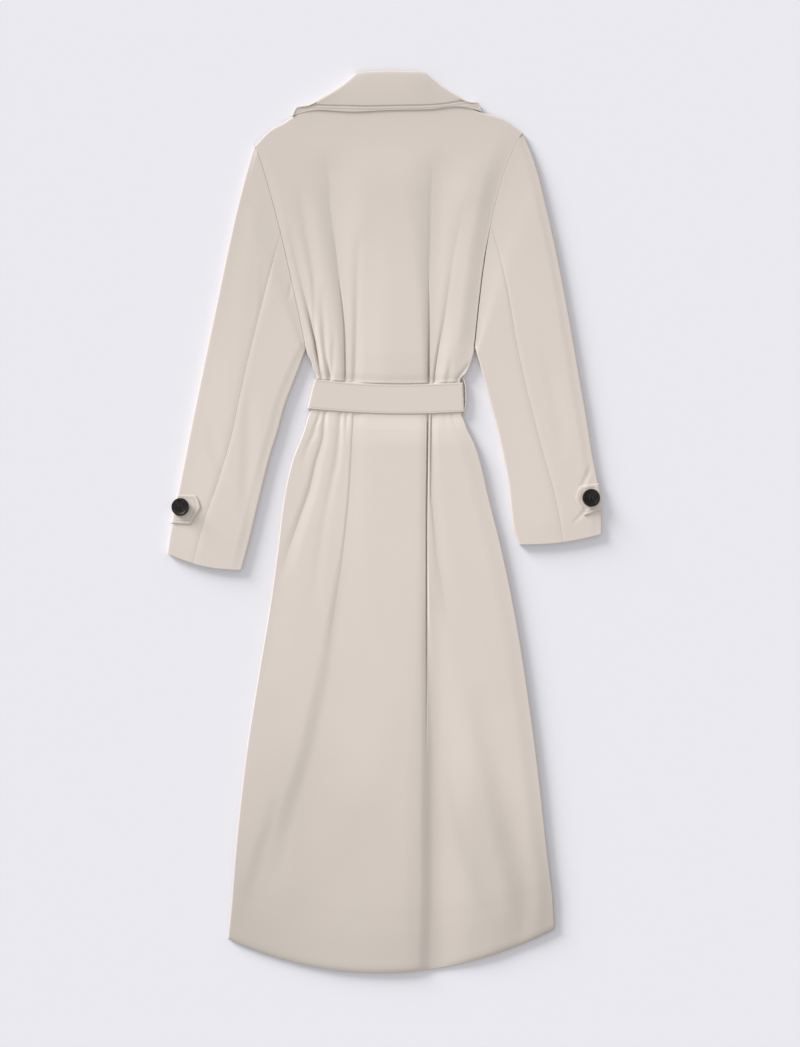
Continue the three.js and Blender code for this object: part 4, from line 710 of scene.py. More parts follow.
def front_points(level, x, neck_side_x, lap):
    """The lower and the upper side of a front; lap is 1 where it lies on the other one."""
    neck_x = blend(x, neck_side_x, ease(*NECK_STEP, level))
    y = body_y(level, x, 1, neck_x)
    wall = curve(BODY, level)[4]
    bottom = front_lift(level, x, y) + lap * (wall + SEAM_GAP)
    return points(x, y, bottom), points(x, y, bottom + wall)


front_levels = [*np.arange(HEM, 130, 12), *np.arange(130, 230, 4), *np.arange(230, TOP + 0.1, 8)]
front_levels = with_rims([*front_levels, TOP])
front_level = front_levels[:, None]
front_left_edge = body_edge("left", front_level)[0]
front_right_edge = body_edge("right", front_level)[0]
front_shares = with_rims(np.linspace(0, FRONT_WIDTH, 34)) / FRONT_WIDTH
x = blend(front_left_edge, LAP_RIGHT, front_shares)
low, high = front_points(front_level, x, np.minimum(x, CENTRE), ease(*LAP_STEP, x))
front_left = shell("front_left_cloth", low + SHIFT, high + SHIFT, cloth)
x = blend(LAP_LEFT, front_right_edge, front_shares)
low, high = front_points(front_level, x, np.maximum(x, CENTRE), 0)
front_right = shell("front_right_cloth", low + SHIFT, high + SHIFT, cloth)
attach(front_left, "root")
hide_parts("front_left")
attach(front_right, "root")
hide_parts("front_right")

# ---- Sleeves ------------------------------------------------------------------------------
# Each sleeve is an upper and an under piece of the coat cloth, sewn into a flattened tube with
# one seam down its back and one underneath.  The ends at the wrists are turned up and pressed.

# A row for each section from the armhole to the cuff: outer end x, y, inner end x, y, where
# the seam crosses, how much of the armhole's curve it keeps, height.
SLEEVE_ROWS = {
    "left": [
        (-186.5, 541, -113, 249.2, 0.432, 1, 7),
        (-198, 502, -114.6, 245, 0.443, 0.8, 8.2),
        (-212, 448, -117, 238, 0.453, 0.55, 8.8),
        (-226, 385, -120.5, 228, 0.456, 0.3, 8.8),
        (-240, 318, -125.5, 214, 0.457, 0.1, 8.8),
        (-254, 252, -132.5, 196, 0.461, 0, 8.8),
        (-266, 194, -143, 168, 0.473, 0, 8.8),
        (-277, 140, -154, 128, 0.484, 0, 8.8),
        (-287, 89, -165.5, 91, 0.474, 0, 8.8),
        (-296, 44, -177, 45, 0.436, 0, 8.8),
        (-303, 8, -187, 3, 0.388, 0, 8.6),
        (-308.5, -20, -196.5, -36, 0.366, 0, 8.4),
        (-312, -45.5, -205.5, -69, 0.343, 0, 8.2),
    ],
    "right": [
        (199.5, 559, 130, 250.8, 0.438, 1, 7),
        (217, 515, 131.6, 246, 0.468, 0.8, 8.2),
        (233, 453, 133.6, 239, 0.502, 0.55, 8.8),
        (247, 391, 136.4, 230, 0.545, 0.3, 8.8),
        (260, 324, 140.5, 215, 0.582, 0.1, 8.8),
        (271.5, 261, 146.5, 193, 0.594, 0, 8.8),
        (281, 205, 153.5, 166, 0.588, 0, 8.8),
        (291, 148, 162.5, 133, 0.576, 0, 8.8),
        (299, 97, 171.5, 92, 0.55, 0, 8.8),
        (306.5, 58, 178.5, 54, 0.52, 0, 8.8),
        (310.5, 28, 182, 20, 0.49, 0, 8.6),
        (312, 4, 186, -10, 0.47, 0, 8.4),
        (312, -17.5, 194, -32.5, 0.472, 0, 8.2),
    ],
}
# The last section, about how far apart two of them are, and about how wide the top is.
LAST_SECTION, SECTION_LENGTH, TOP_WIDTH = 12, 48, 120
# How far the cuff's edge curves down between its ends.
CUFF_SAG = {"left": -6.5, "right": -4.5}
# The least height inside a sleeve, halved.
LEAST_HOLLOW = 1.2
# The hidden seam's distance from the inner edge, the wall, the gap at the seam down the back of
# the sleeve, and how round the folded edges are, 1 for a half circle.
FORE_SEAM, SLEEVE_WALL, HIND_GAP, EDGE_SQUARE = 20, 2.4, 0.12, 0.34
# Short soft creases on top of each sleeve, in the same columns as the back's.
SLEEVE_FOLDS = {
    "left": [
        [(140, -252, 0, 14, 12), (122, -247, -0.35, 15, 13), (98, -241, -0.5, 16, 14),
         (75, -234, -0.35, 15, 14), (52, -228, 0, 14, 14)],
        [(210, -194, 0, 12, 16), (150, -195, -0.5, 14, 18), (60, -197, -0.7, 16, 20),
         (-10, -200, 0, 16, 20)],
        [(352, -133, 0, 5, 6), (334, -135, -0.4, 5, 6), (316, -138, 0, 5, 6)],
        [(380, -172, 0, 9, 12), (335, -174, -0.4, 10, 13), (290, -178, 0, 9, 12)],
    ],
    "right": [
        [(104, 304, 0, 7, 6), (82, 299, -0.7, 7, 6), (68, 292, -0.8, 7, 6), (55, 286, -0.6, 7, 6),
         (46, 283, 0, 7, 6)],
        [(24, 291, 0, 6, 6), (14, 286, -0.6, 6, 6), (3, 276, -0.4, 6, 6), (-4, 270, 0, 6, 6)],
        [(250, 232, 0, 16, 18), (200, 240, -0.3, 16, 18), (140, 252, -0.4, 16, 18),
         (90, 262, 0, 16, 18)],
    ],
}
# How far in the top takes to reach its full height, from an edge towards the light and from the
# other edge.
LIT_REACH, SHADED_REACH = 50, 13
# The top's fullness, the valley at the seam and its half width, and the height at the armhole.
SLEEVE_FULLNESS, HIND_VALLEY, VALLEY_WIDTH, ARMHOLE_HEIGHT = 0.9, 0.35, 4, 8.4
# Over how many sections the fullness starts at the armhole, and between which ones it falls at
# the cuff, by what share.
SLEEVE_START, CUFF_FADE, CUFF_LOSS = 2.2, (10.5, 12), 0.6


def sleeve_section(side, place):
    """The sections at some places along a sleeve: ends, seam, curve, height, width and sag."""
    rows = [(index, *row) for index, row in enumerate(SLEEVE_ROWS[side])]
    outer_x, outer_y, inner_x, inner_y, seam, bow, height = curve(rows, place)
    last = len(rows) - 1
    return {
        "outer": (outer_x, outer_y), "inner": (inner_x, inner_y), "seam": seam, "height": height,
        "width": np.hypot(inner_x - outer_x, inner_y - outer_y), "bow": ARMHOLES[side][4] * bow,
        "sag": CUFF_SAG[side] * ease(last - 2, last, place), "side": side,
    }


def sleeve_points(section, edge, along, outwards, puff=0):
    """Points of a flattened tube.  along is measured round it from the top of its outer or
    inner edge: above 0 on the top, below 0 round the edge and underneath."""
    radius, width = section["height"] / 2, section["width"]
    angle = np.clip(-along / radius, 0, math.pi)
    under = along < -math.pi * radius
    depth = radius - radius * np.sin(angle) ** EDGE_SQUARE + np.clip(along, 0, None)
    depth = np.where(under, radius - along - math.pi * radius, depth)
    flat, lift = -np.sin(angle), np.cos(angle)
    high = np.sign(lift) * np.abs(lift) ** EDGE_SQUARE
    share = depth / width if edge == "outer" else 1 - depth / width
    (outer_x, outer_y), (inner_x, inner_y) = section["outer"], section["inner"]
    wave = np.sin(math.pi * np.clip(share, 0, 1) ** 0.7)
    x = blend(outer_x, inner_x, share) + section["bow"] * wave
    y = blend(outer_y, inner_y, share) + section["sag"] * np.sin(math.pi * np.clip(share, 0, 1))
    folds = fold_rise(SLEEVE_FOLDS[section["side"]], x, y)
    rise = folds * ease(0, 8, along) + puff
    sign = flat * outwards * (1 if edge == "outer" else -1)
    x = x + sign * (inner_x - outer_x) / width
    y = y + sign * (inner_y - outer_y) / width
    return points(x, y, radius + radius * high + rise + lift * outwards)


def sleeve_puff(side, edge, height, place, along, to_seam):
    """How much fuller than its solid the top lies, with a shallow valley at the seam."""
    shaded = (side == "left") == (edge == "inner")
    ends = ease(0, SLEEVE_START, place) * (1 - CUFF_LOSS * ease(*CUFF_FADE, place))
    swell = ease(0, SHADED_REACH if shaded else LIT_REACH, along)
    valley = HIND_VALLEY * np.exp(-(((to_seam - along) / VALLEY_WIDTH) ** 2))
    at_armhole = (ARMHOLE_HEIGHT - height) * (1 - ease(0, 3, place)) * ease(0, 6, along)
    return (SLEEVE_FULLNESS * swell - valley) * ends + np.clip(at_armhole, 0, None)


sleeve_places = with_rims(np.linspace(0, LAST_SECTION, 150) * SECTION_LENGTH) / SECTION_LENGTH
place = sleeve_places[:, None]
for side in ("left", "right"):
    for piece in ("upper", "under"):
        edge = "outer" if piece == "upper" else "inner"
        section = sleeve_section(side, place)
        radius, width = section["height"] / 2, section["width"]
        to_seam = section["seam"] * width - radius
        flat = width - 2 * radius
        if piece == "upper":
            top, below = to_seam - HIND_GAP, flat - FORE_SEAM - SEAM_GAP / 2
        else:
            top, below = flat - to_seam, FORE_SEAM - SEAM_GAP / 2
        turn = math.pi * radius
        ends = with_rims(np.linspace(0, 1, 60) * TOP_WIDTH) / TOP_WIDTH
        upper_part = blend(top, 0, ends[ends < 0.999])
        under_share = np.linspace(0, 1, 12)[1:-1]
        round_part = blend(0, -turn, np.linspace(0, 1, 16))
        last = -turn - below + np.array(ROUND_EDGE[::-1])
        under_part = blend(-turn, -turn - below, under_share)
        along = np.hstack([np.broadcast_to(part, (len(place), part.shape[1])) for part in (
            upper_part[:, :-4], round_part, under_part, last)])
        wall = np.minimum(SLEEVE_WALL, radius - LEAST_HOLLOW)
        puff = sleeve_puff(side, edge, section["height"], place, along, top)
        outer = sleeve_points(section, edge, along, 0, puff)
        inner = sleeve_points(section, edge, along, -wall, puff)
        name = f"sleeve_{side}_{piece}"
        sleeve = shell(f"{name}_cloth", outer + SHIFT, inner + SHIFT, cloth, edge=0.6, seat=0.14)
        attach(sleeve, "root")
        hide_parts(name)

# ---- Cuff tabs ----------------------------------------------------------------------------
# A pointed tab of double cloth near each wrist, sewn in under the sleeve's outer edge, turned
# over it and held by a button.  Its edges are topstitched.

# A row for each place along the tab: way round the sleeve, upper edge y, lower edge y.
TAB_ROWS = {
    "left": [(-8.6, 38, -2), (-6.8, 38.5, -2), (-4.8, 39, -1.6), (-2.5, 39, -1.5), (0, 39, -1.5),
             (6, 39, -1.3), (14, 38.8, -1.2), (21, 38.6, -1.2), (26, 33, 9), (31, 23.4, 21)],
    "right": [(-8.6, 56, 19), (-6.8, 56, 18.5), (-4.8, 56, 18), (-2.5, 55.6, 17.5), (0, 55, 17),
              (6, 54.2, 15.6), (14, 53.4, 13.6), (21, 52.6, 12.4), (26, 47, 20), (31, 35, 32.6)],
}
TAB_WALL, TAB_GAP, TAB_LENGTH, TAB_WIDTH = 1.5, 0.5, 31, 38


def sleeve_place_at(side, y):
    """How far down the sleeve its outer edge passes a height y."""
    tried = np.linspace(LAST_SECTION / 2, LAST_SECTION, 1200)
    heights = sleeve_section(side, tried)["outer"][1]
    return np.interp(-np.asarray(y), -heights, tried)


def tab_points(side, along, share, outwards):
    """Points over the sleeve at a share of the way across its tab."""
    keys, upper, lower = np.array(TAB_ROWS[side], float).T
    y = blend(np.interp(along, keys, upper), np.interp(along, keys, lower), share)
    section = sleeve_section(side, sleeve_place_at(side, y))
    to_seam = section["seam"] * section["width"] - section["height"] / 2
    puff = sleeve_puff(side, "outer", section["height"], sleeve_place_at(side, y), along, to_seam)
    return sleeve_points(section, "outer", along, outwards, puff)


tab_along = with_rims(np.linspace(TAB_ROWS["left"][0][0], TAB_LENGTH, 60))[:, None]
tab_share = (with_rims(np.linspace(0, TAB_WIDTH, 34)) / TAB_WIDTH)[None]
for side in ("left", "right"):
    outer = tab_points(side, tab_along, tab_share, TAB_GAP + TAB_WALL)
    inner = tab_points(side, tab_along, tab_share, TAB_GAP)
    tab = shell(f"cuff_tab_{side}_cloth", outer + SHIFT, inner + SHIFT, cloth)
    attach(tab, "root")
    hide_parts(f"cuff_tab_{side}")

# ---- Buttons ------------------------------------------------------------------------------
# Two round black buttons of polished resin with a raised rim and four sewing holes, sewn on
# through the tips of the cuff tabs.

# Radius, height and rounding of the edges, then rim, slope and depth of the dished face, and rim
# and depth of the back.
BUTTON_RADIUS, BUTTON_HEIGHT, BUTTON_BEVEL = 12.8, 3.6, 0.5
FACE_RIM, FACE_SLOPE, FACE_DISH, BACK_RIM, BACK_DISH = 2.3, 1.6, 0.9, 3, 0.3
# Radius of the sewing holes, and how far across and down each lies from the middle.
HOLE_RADIUS, HOLE_OFFSET = 1.0, 2.3
# The sewing thread: rise over the face, spacing, then length, width and height of one turn.
THREAD_RISE, THREAD_SPACING, THREAD_TURN = 0.35, 0.45, (6.2, 0.5, 0.6)
# The thread between button and tab: rise over the tab, then length, width and height.
SHANK_RISE, SHANK = 1, (5.5, 3, 3)
# Middle of each button, x and y, and its tilt over the folded edge in degrees.
BUTTONS = {"left": (-292.4, 21.6, -12), "right": (296.2, 34.7, 10)}
# How far from its middle a tilted button touches its tab.
BUTTON_SEAT = 9.5
# The resin: its colours, the scale and stops of the mottling, roughness and gloss.
RESIN_DARK, RESIN_PALE, RESIN_SCALE = (0.008, 0.007, 0.006, 1), (0.03, 0.028, 0.026, 1), 160
RESIN_STOPS, RESIN_ROUGHNESS, RESIN_GLOSS = (0.4, 0.75), 0.42, 0.2
BUTTON_THREAD_COLOUR = (0.03, 0.028, 0.026, 1)
# A stitch: its sections, each a share of its length and of its thickness, the corners of each in
# degrees, and how much its ends dip, as a share of its height.
STITCH_SECTIONS = ((-0.5, 0.35), (-0.36, 0.9), (0, 1), (0.36, 0.9), (0.5, 0.35))
STITCH_CORNERS, STITCH_DIP = (0, 60, 120, 180, 240, 300), 0.8
# The thread's finish: scale of its fibres, their darker shade, roughness.
THREAD_SCALE, THREAD_SHADE, THREAD_ROUGHNESS = 1500, 0.75, 0.7


def resin():
    """Polished black resin with a faint grey mottling."""
    material, nodes, links, shader, place = new_material("button_resin")
    ramp = nodes.new("ShaderNodeValToRGB")
    dark, pale = ramp.color_ramp.elements
    dark.position, dark.color = RESIN_STOPS[0], RESIN_DARK
    pale.position, pale.color = RESIN_STOPS[1], RESIN_PALE
    links.new(cloudy(nodes, links, place, RESIN_SCALE, 4), ramp.inputs["Fac"])
    links.new(ramp.outputs["Color"], shader.inputs["Base Color"])
    shader.inputs["Roughness"].default_value = RESIN_ROUGHNESS
    shader.inputs["Specular IOR Level"].default_value = RESIN_GLOSS
    return material


def thread_material(name, colour):
    """Spun thread, a little darker between its fibres."""
    material, nodes, links, shader, place = new_material(name)
    dark = tuple(THREAD_SHADE * value for value in colour[:3]) + (1,)
    fibres = cloudy(nodes, links, place, THREAD_SCALE, 2)
    links.new(mixed(nodes, links, fibres, dark, colour), shader.inputs["Base Color"])
    shader.inputs["Roughness"].default_value = THREAD_ROUGHNESS
    return material


def stitch_mesh(name, middles, ways, length, width, height, material):
    """Many short stitches joined in one mesh: six-sided bars that thin and dip at their ends, at
    some middles, each with its own way over the cloth."""
    middles, ways = np.asarray(middles, float), np.asarray(ways, float)
    ways = ways / np.linalg.norm(ways, axis=1, keepdims=True)
    across = np.cross([0, 0, 1], ways)
    across /= np.linalg.norm(across, axis=1, keepdims=True)
    upwards = np.cross(ways, across)
    vertices, faces = [], []
    for station, size in STITCH_SECTIONS:
        for corner in np.radians(STITCH_CORNERS):
            side = across * (math.cos(corner) * width / 2 * size)
            rise = upwards * (math.sin(corner) * height / 2 * size - abs(station) * height * STITCH_DIP)
            vertices.append(middles + ways * station * length + side + rise)
    vertices = np.stack(vertices, axis=1)
    count = len(STITCH_CORNERS)
    last_ring = count * (len(STITCH_SECTIONS) - 1)
    for ring in range(0, last_ring, count):
        for corner in range(count):
            after = (corner + 1) % count
            faces.append((ring + corner, ring + after, ring + count + after, ring + count + corner))
    start_cap = len(faces)
    for base in (0, last_ring):
        for first, third in ((0, 2), (3, 5)):
            faces.append((base + first, base + first + 1, base + third, base + (third + 1) % count))
    quads = np.array(faces)
    quads[start_cap:start_cap + 2] = quads[start_cap:start_cap + 2, ::-1]
    joined = (np.arange(len(middles))[:, None, None] * vertices.shape[1] + quads).reshape(-1, 4)
    return add_mesh(name, vertices.reshape(-1, 3) * MM, joined, material)


def pick_faces(piece, chosen):
    """Selects in edit mode the faces whose middle and normal pass a test."""
    bpy.ops.mesh.select_all(action="DESELECT")
    bpy.ops.object.mode_set(mode="OBJECT")
    for face in piece.data.polygons:
        face.select = chosen(face.center, face.normal)
    bpy.ops.object.mode_set(mode="EDIT")


def only(piece):
    """Selects one piece and makes it the active one."""
    bpy.ops.object.select_all(action="DESELECT")
    piece.select_set(True)
    bpy.context.view_layer.objects.active = piece


def make_button(name, material):
    """A round button with its middle on the origin: a disc, its face sunk inside the rim, its edges
    bevelled and four holes drilled through it."""
    height = BUTTON_HEIGHT * MM
    bpy.ops.mesh.primitive_cylinder_add(vertices=64, radius=BUTTON_RADIUS * MM, depth=height)
    button = bpy.context.object
    button.name = name
    bpy.ops.object.mode_set(mode="EDIT")
    bpy.ops.mesh.select_mode(type="FACE")
    pick_faces(button, lambda middle, normal: normal.z > 0.9)
    bpy.ops.mesh.inset(thickness=FACE_RIM * MM, depth=0)
    bpy.ops.mesh.inset(thickness=FACE_SLOPE * MM, depth=-FACE_DISH * MM)
    pick_faces(button, lambda middle, normal: normal.z < -0.9)
    bpy.ops.mesh.inset(thickness=BACK_RIM * MM, depth=BACK_DISH * MM)
    bpy.ops.object.mode_set(mode="OBJECT")
    only(button)
    bevel = button.modifiers.new("soft_edges", "BEVEL")
    bevel.width = BUTTON_BEVEL * MM
    bevel.segments = 4
    bevel.limit_method = "ANGLE"
    bevel.angle_limit = math.radians(25)
    bpy.ops.object.modifier_apply(modifier=bevel.name)
    for across, down in ((-1, -1), (-1, 1), (1, -1), (1, 1)):
        bpy.ops.mesh.primitive_cylinder_add(vertices=20, radius=HOLE_RADIUS * MM, depth=3 * height)
        drill = bpy.context.object
        place = (across * HOLE_OFFSET * MM, down * HOLE_OFFSET * MM, 0)
        drill.data.transform(Matrix.Translation(place))
        only(button)
        hole = button.modifiers.new("hole", "BOOLEAN")
        hole.operation = "DIFFERENCE"
        hole.object = drill
        bpy.ops.object.modifier_apply(modifier=hole.name)
        bpy.data.objects.remove(drill, do_unlink=True)
    button.data.materials.clear()
    button.data.materials.append(material)
    for face in button.data.polygons:
        face.use_smooth = True
        face.material_index = 0
    button.data.set_sharp_from_angle(angle=math.radians(35))
    return button


button_resin = resin()
dark_thread = thread_material("dark_thread", BUTTON_THREAD_COLOUR)
for side, (x, y, tilt) in BUTTONS.items():
    button_section = sleeve_section(side, sleeve_place_at(side, y))
    tab_top = float(button_section["height"]) + TAB_GAP + TAB_WALL
    seat = tab_top + SEAM_GAP + abs(math.sin(math.radians(tilt))) * BUTTON_SEAT
    at_x, at_y = (x + SHIFT[0]) * MM, (y + SHIFT[1]) * MM
    tilted = Matrix.Translation((at_x, at_y, seat * MM)) @ Matrix.Rotation(math.radians(tilt), 4, "Y")
    button = make_button(f"button_{side}_resin", button_resin)
    button.data.transform(tilted @ Matrix.Translation((0, 0, BUTTON_HEIGHT / 2 * MM)))
    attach(button, "root")
    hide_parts(f"button_{side}")
    lie = BUTTON_HEIGHT - FACE_DISH + THREAD_RISE
    middles = [(hole + turn * THREAD_SPACING, 0, lie) for hole in (-HOLE_OFFSET, HOLE_OFFSET)
               for turn in (-1, 0, 1)]
    ways = [(0, 1, 0)] * len(middles)
    sewn = stitch_mesh(f"button_{side}_thread", middles, ways, *THREAD_TURN, dark_thread)
    sewn.data.transform(tilted)
    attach(sewn, "root")
    shank = stitch_mesh(f"button_{side}_shank", [(0, 0, 0)], [(1, 0, 0)], *SHANK, dark_thread)
    shank.data.transform(Matrix.Translation((at_x, at_y, (tab_top + SHANK_RISE) * MM)))
    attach(shank, "root")

# ---- Collar -------------------------------------------------------------------------------
# A turned-down collar of the coat cloth: a low stand sewn to the neckline and a fall folded
# over it, laid flat on the upper back, whose edge is turned in and pressed.

# A row for each place round the neck: roll x, y, edge x, y, neckline x, y, and the way the cloth
# faces, 0 upwards on the back and 180 down on the front.
COLLAR = [
    (3, 576, -70, 512, 3, 557.5, -180),
    (-9, 592, -88, 536, -14, 563, -180),
    (-22, 612, -106, 560, -32, 582, -180),
    (-32, 630, -119, 578, -49, 604, -180),
    (-37, 641, -128.6, 583.6, -57.5, 615.5, -180),
    (-37.2, 641.2, -131, 582, -58, 616, -135),
    (-37.3, 641.3, -132, 582, -58.5, 616.2, -90),
    (-37.3, 641.3, -132, 582.4, -58.5, 616.2, -45),
    (-37.5, 645, -131, 583.2, -58, 616.2, 0),
    (-28.5, 646.6, -96, 591.5, -46, 612.8, 0),
    (-10, 647.6, -44, 588.7, -22, 608.6, 0),
    (9, 648.2, 9, 591.2, 9, 607.5, 0),
    (28, 647.6, 62, 592.2, 40, 608.8, 0),
    (47, 647.2, 104, 596.4, 64, 611.6, 0),
    (56, 646, 138, 590, 75.5, 616.2, 0),
    (55.6, 642, 139, 589.2, 76, 616.2, 45),
    (55.6, 642, 139, 588.8, 76, 616.2, 90),
    (55.4, 641.8, 135.6, 589.6, 75.5, 616, 135),
    (55, 641.6, 135, 589.4, 75, 615.5, 180),
    (50, 630, 128, 583, 67, 604, 180),
    (40, 612, 120, 562, 50, 582, 180),
    (27, 592, 105, 537, 32, 563, 180),
    (15, 576, 88, 512, 15, 557.5, 180),
]
# Height of the collar's middle, how far from it the fall and the stand lie, the fall's wall, the
# stand's width, and how far under the roll it starts.
COLLAR_AXIS, COLLAR_OUTER, COLLAR_WALL = 5.1, 5.1, 1.8
STAND_OUTER, STAND_INNER, STAND_WIDTH, STAND_START = 2.7, 1, 24, 1.2
# Radius of the roll, its rows of points, and how round the turn on to the front is.
COLLAR_CURL, CURL_ROWS, COLLAR_SQUARE = (COLLAR_OUTER - STAND_INNER) / 2, 15, 0.45
COLLAR_FULLNESS = 0.9


def collar_frames(places):
    """Roll line, edge and neckline at some places round the neck, with the way the cloth runs
    from the roll to the edge and the way it faces."""
    rows = [(index, *row) for index, row in enumerate(COLLAR)]
    roll_x, roll_y, edge_x, edge_y, neck_x, neck_y, turn = curve(rows, places)
    roll, rim, neck = (points(a, b, COLLAR_AXIS) for a, b in (
        (roll_x, roll_y), (edge_x, edge_y), (neck_x, neck_y)))
    run = rim - roll
    length = np.linalg.norm(run, axis=-1, keepdims=True)
    run = run / length
    sign = np.where(places < (len(COLLAR) - 1) / 2, 1, -1)[:, None]
    sideways = np.stack([run[:, 1], -run[:, 0], np.zeros(len(places))], axis=-1) * sign
    angle = np.radians(np.abs(turn))[:, None]
    up = np.sign(np.cos(angle)) * np.abs(np.cos(angle)) ** COLLAR_SQUARE
    facing = sideways * np.abs(np.sin(angle)) ** COLLAR_SQUARE + np.array([0, 0, 1]) * up
    return roll, neck, run, length, facing


# The seam where the band along the fall's edge is joined on: x, y.
BAND_SEAM = [(-112, 598.9), (-104, 598.9), (-76, 597.8), (-57, 597.6), (-28, 596.8), (22, 597.8),
             (48, 598.2), (80, 599.8), (97, 602.3), (118, 605.4)]
# The band: width that has finer rows, drop under the fall, depth of the seam, and distance and
# depth of its topstitching.
BAND_WIDTH, BAND_DROP, BAND_GROOVE = 20, 0.6, 1.1
BAND_STITCHING, BAND_STITCH_DEPTH = 4.4, 0.25
# Half widths of the seam and of the row of stitches, and where the cloth steps down at the seam.
GROOVE_WIDTH, STITCHING_WIDTH, BAND_STEP = 0.8, 0.6, (-1.2, 0.4)
# How far its ends stand out, how hollow the fall's sides are, and how much thinner the tips are.
BAND_END_BULGE, SIDE_HOLLOW, TIP_THINNING = 5, 4.4, 1.1
# The shares of the way to the edge where the bulge starts, the hollow ends, the turns draw in
# under the edge, and the tips grow thin.
BULGE_START, HOLLOW_END, DRAW_IN_START, THINNING_START = 0.7, 0.86, 0.84, 0.8
# The rows of the table between which the sides and the tips lie, with their fading.
SIDE_ROWS = [(2.6, 4, 8.2, 9.3), (12.7, 13.8, 18, 19.4)]
TIP_ROWS = [(7.5, 8.1, 8.4, 9.1), (13.2, 13.8, 14.2, 14.9)]


def band_relief(x, y):
    """The fall's band lies lower than the rest, under a groove, with a shallow one along it."""
    above = y - curve(BAND_SEAM, x)[0]
    groove = BAND_GROOVE * np.exp(-((above / GROOVE_WIDTH) ** 2))
    sewn_down = BAND_STITCH_DEPTH * np.exp(-(((above + BAND_STITCHING) / STITCHING_WIDTH) ** 2))
    return -BAND_DROP * (1 - ease(*BAND_STEP, above)) - groove - sewn_down


def band_end(places, share, run):
    """Each end of the band rounds out past the side of the fall, which is a little hollow."""
    left, right = (plateau(*rows, places) for rows in SIDE_ROWS)
    outwards = points(run[:, 1] * (left - right), run[:, 0] * (right - left), 0)
    along = np.clip((share - BULGE_START) / (1 - BULGE_START), 0, 1)
    hollow = np.sin(math.pi * np.clip(share / HOLLOW_END, 0, 1) ** 0.8)
    bulge = np.sin(math.pi * along ** 1.6) ** 1.5
    return outwards * (BAND_END_BULGE * bulge - SIDE_HOLLOW * hollow)


# Places round the neck, closer together where the collar turns over the shoulders.
collar_places = with_rims([*np.arange(0, 8, 0.11), *np.arange(8, 9.2, 0.03), *np.arange(9.2, 12.8, 0.09),
                           *np.arange(12.8, 14.2, 0.03), *np.arange(14.2, 22.05, 0.11)])
roll, neck, run, length, facing = collar_frames(collar_places)
level_part = 1 - np.hypot(facing[:, :1], facing[:, 1:2])
outer_rows, inner_rows = [], []
for degrees in np.linspace(180, 0, CURL_ROWS + 1)[:-1]:
    sine, cosine = math.sin(math.radians(degrees)), math.cos(math.radians(degrees))
    centre = COLLAR_OUTER - COLLAR_CURL
    for rows, radius in ((outer_rows, COLLAR_CURL), (inner_rows, COLLAR_CURL - COLLAR_WALL)):
        rows.append(roll + run * (COLLAR_CURL - radius * sine) + facing * (centre + radius * cosine))
before_band = np.linspace(0, 1, 14)[1:-1]
in_band = np.arange(0, BAND_WIDTH - ROUND_EDGE[-1], 0.5)
steps = [COLLAR_CURL + (length - BAND_WIDTH - COLLAR_CURL) * share for share in before_band]
steps += [length - BAND_WIDTH + step for step in in_band]
steps += [length - step for step in ROUND_EDGE[::-1]]
tips = sum(plateau(*rows, collar_places) for rows in TIP_ROWS)
for away in steps:
    share = away / length
    line = roll + run * away + band_end(collar_places, share, run)
    fuller = COLLAR_FULLNESS * np.sin(math.pi * share) ** 0.8
    puff = np.where(facing[:, 2:] > 0, fuller, 0) * level_part
    relief = band_relief(line[:, :1], line[:, 1:2]) * (facing[:, 2:] > -0.2)
    sideways = facing * [1, 1, 0]
    line = line - sideways * (COLLAR_OUTER - COLLAR_WALL) * ease(DRAW_IN_START, 1, share)
    thinner = TIP_THINNING * tips[:, None] * ease(THINNING_START, 1, share)
    outer_rows.append(line + facing * (COLLAR_OUTER + puff + relief - thinner))
    inner_rows.append(line + facing * (COLLAR_OUTER - COLLAR_WALL + puff + relief))
outer, inner = np.stack(outer_rows, axis=1), np.stack(inner_rows, axis=1)
fall_outer = outer[facing[:, 2] > 0.9]
collar_fall = shell("collar_fall_cloth", outer + SHIFT, inner + SHIFT, cloth, edge=0.9)
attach(collar_fall, "root")
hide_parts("collar_fall")

top = roll + run * (COLLAR_CURL + STAND_START)
shares = (with_rims(np.linspace(0, 1, 16) * STAND_WIDTH) / STAND_WIDTH)[None, :, None]
line = top[:, None] + (neck - top)[:, None] * shares
outer, inner = line + facing[:, None] * STAND_OUTER, line + facing[:, None] * STAND_INNER
collar_stand = shell("collar_stand_cloth", outer + SHIFT, inner + SHIFT, cloth, edge=0.8)
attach(collar_stand, "root")
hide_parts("collar_stand")

# ---- Belt and its loops -------------------------------------------------------------------
# A flat belt of doubled coat cloth runs round the waist, over the back and under the fronts,
# where its end lies on its start.  It passes through a thin strip of cloth at each side seam.

BELT_TOP, BELT_WALL = 8.8, 1.4
# Radius of its turns at the sides, and how round they are, 1 for a quarter circle.
BELT_RADIUS, BELT_SQUARE = BELT_TOP / 2, 0.4
# Where it starts and ends underneath.
BELT_START_X, BELT_END_X = -95, -70
# How far its upper edge leans right of its middle: at the left side, and from a way in.
BELT_LEAN_LEFT, BELT_LEAN, BELT_LEAN_REACH = 5.2, -1, 60


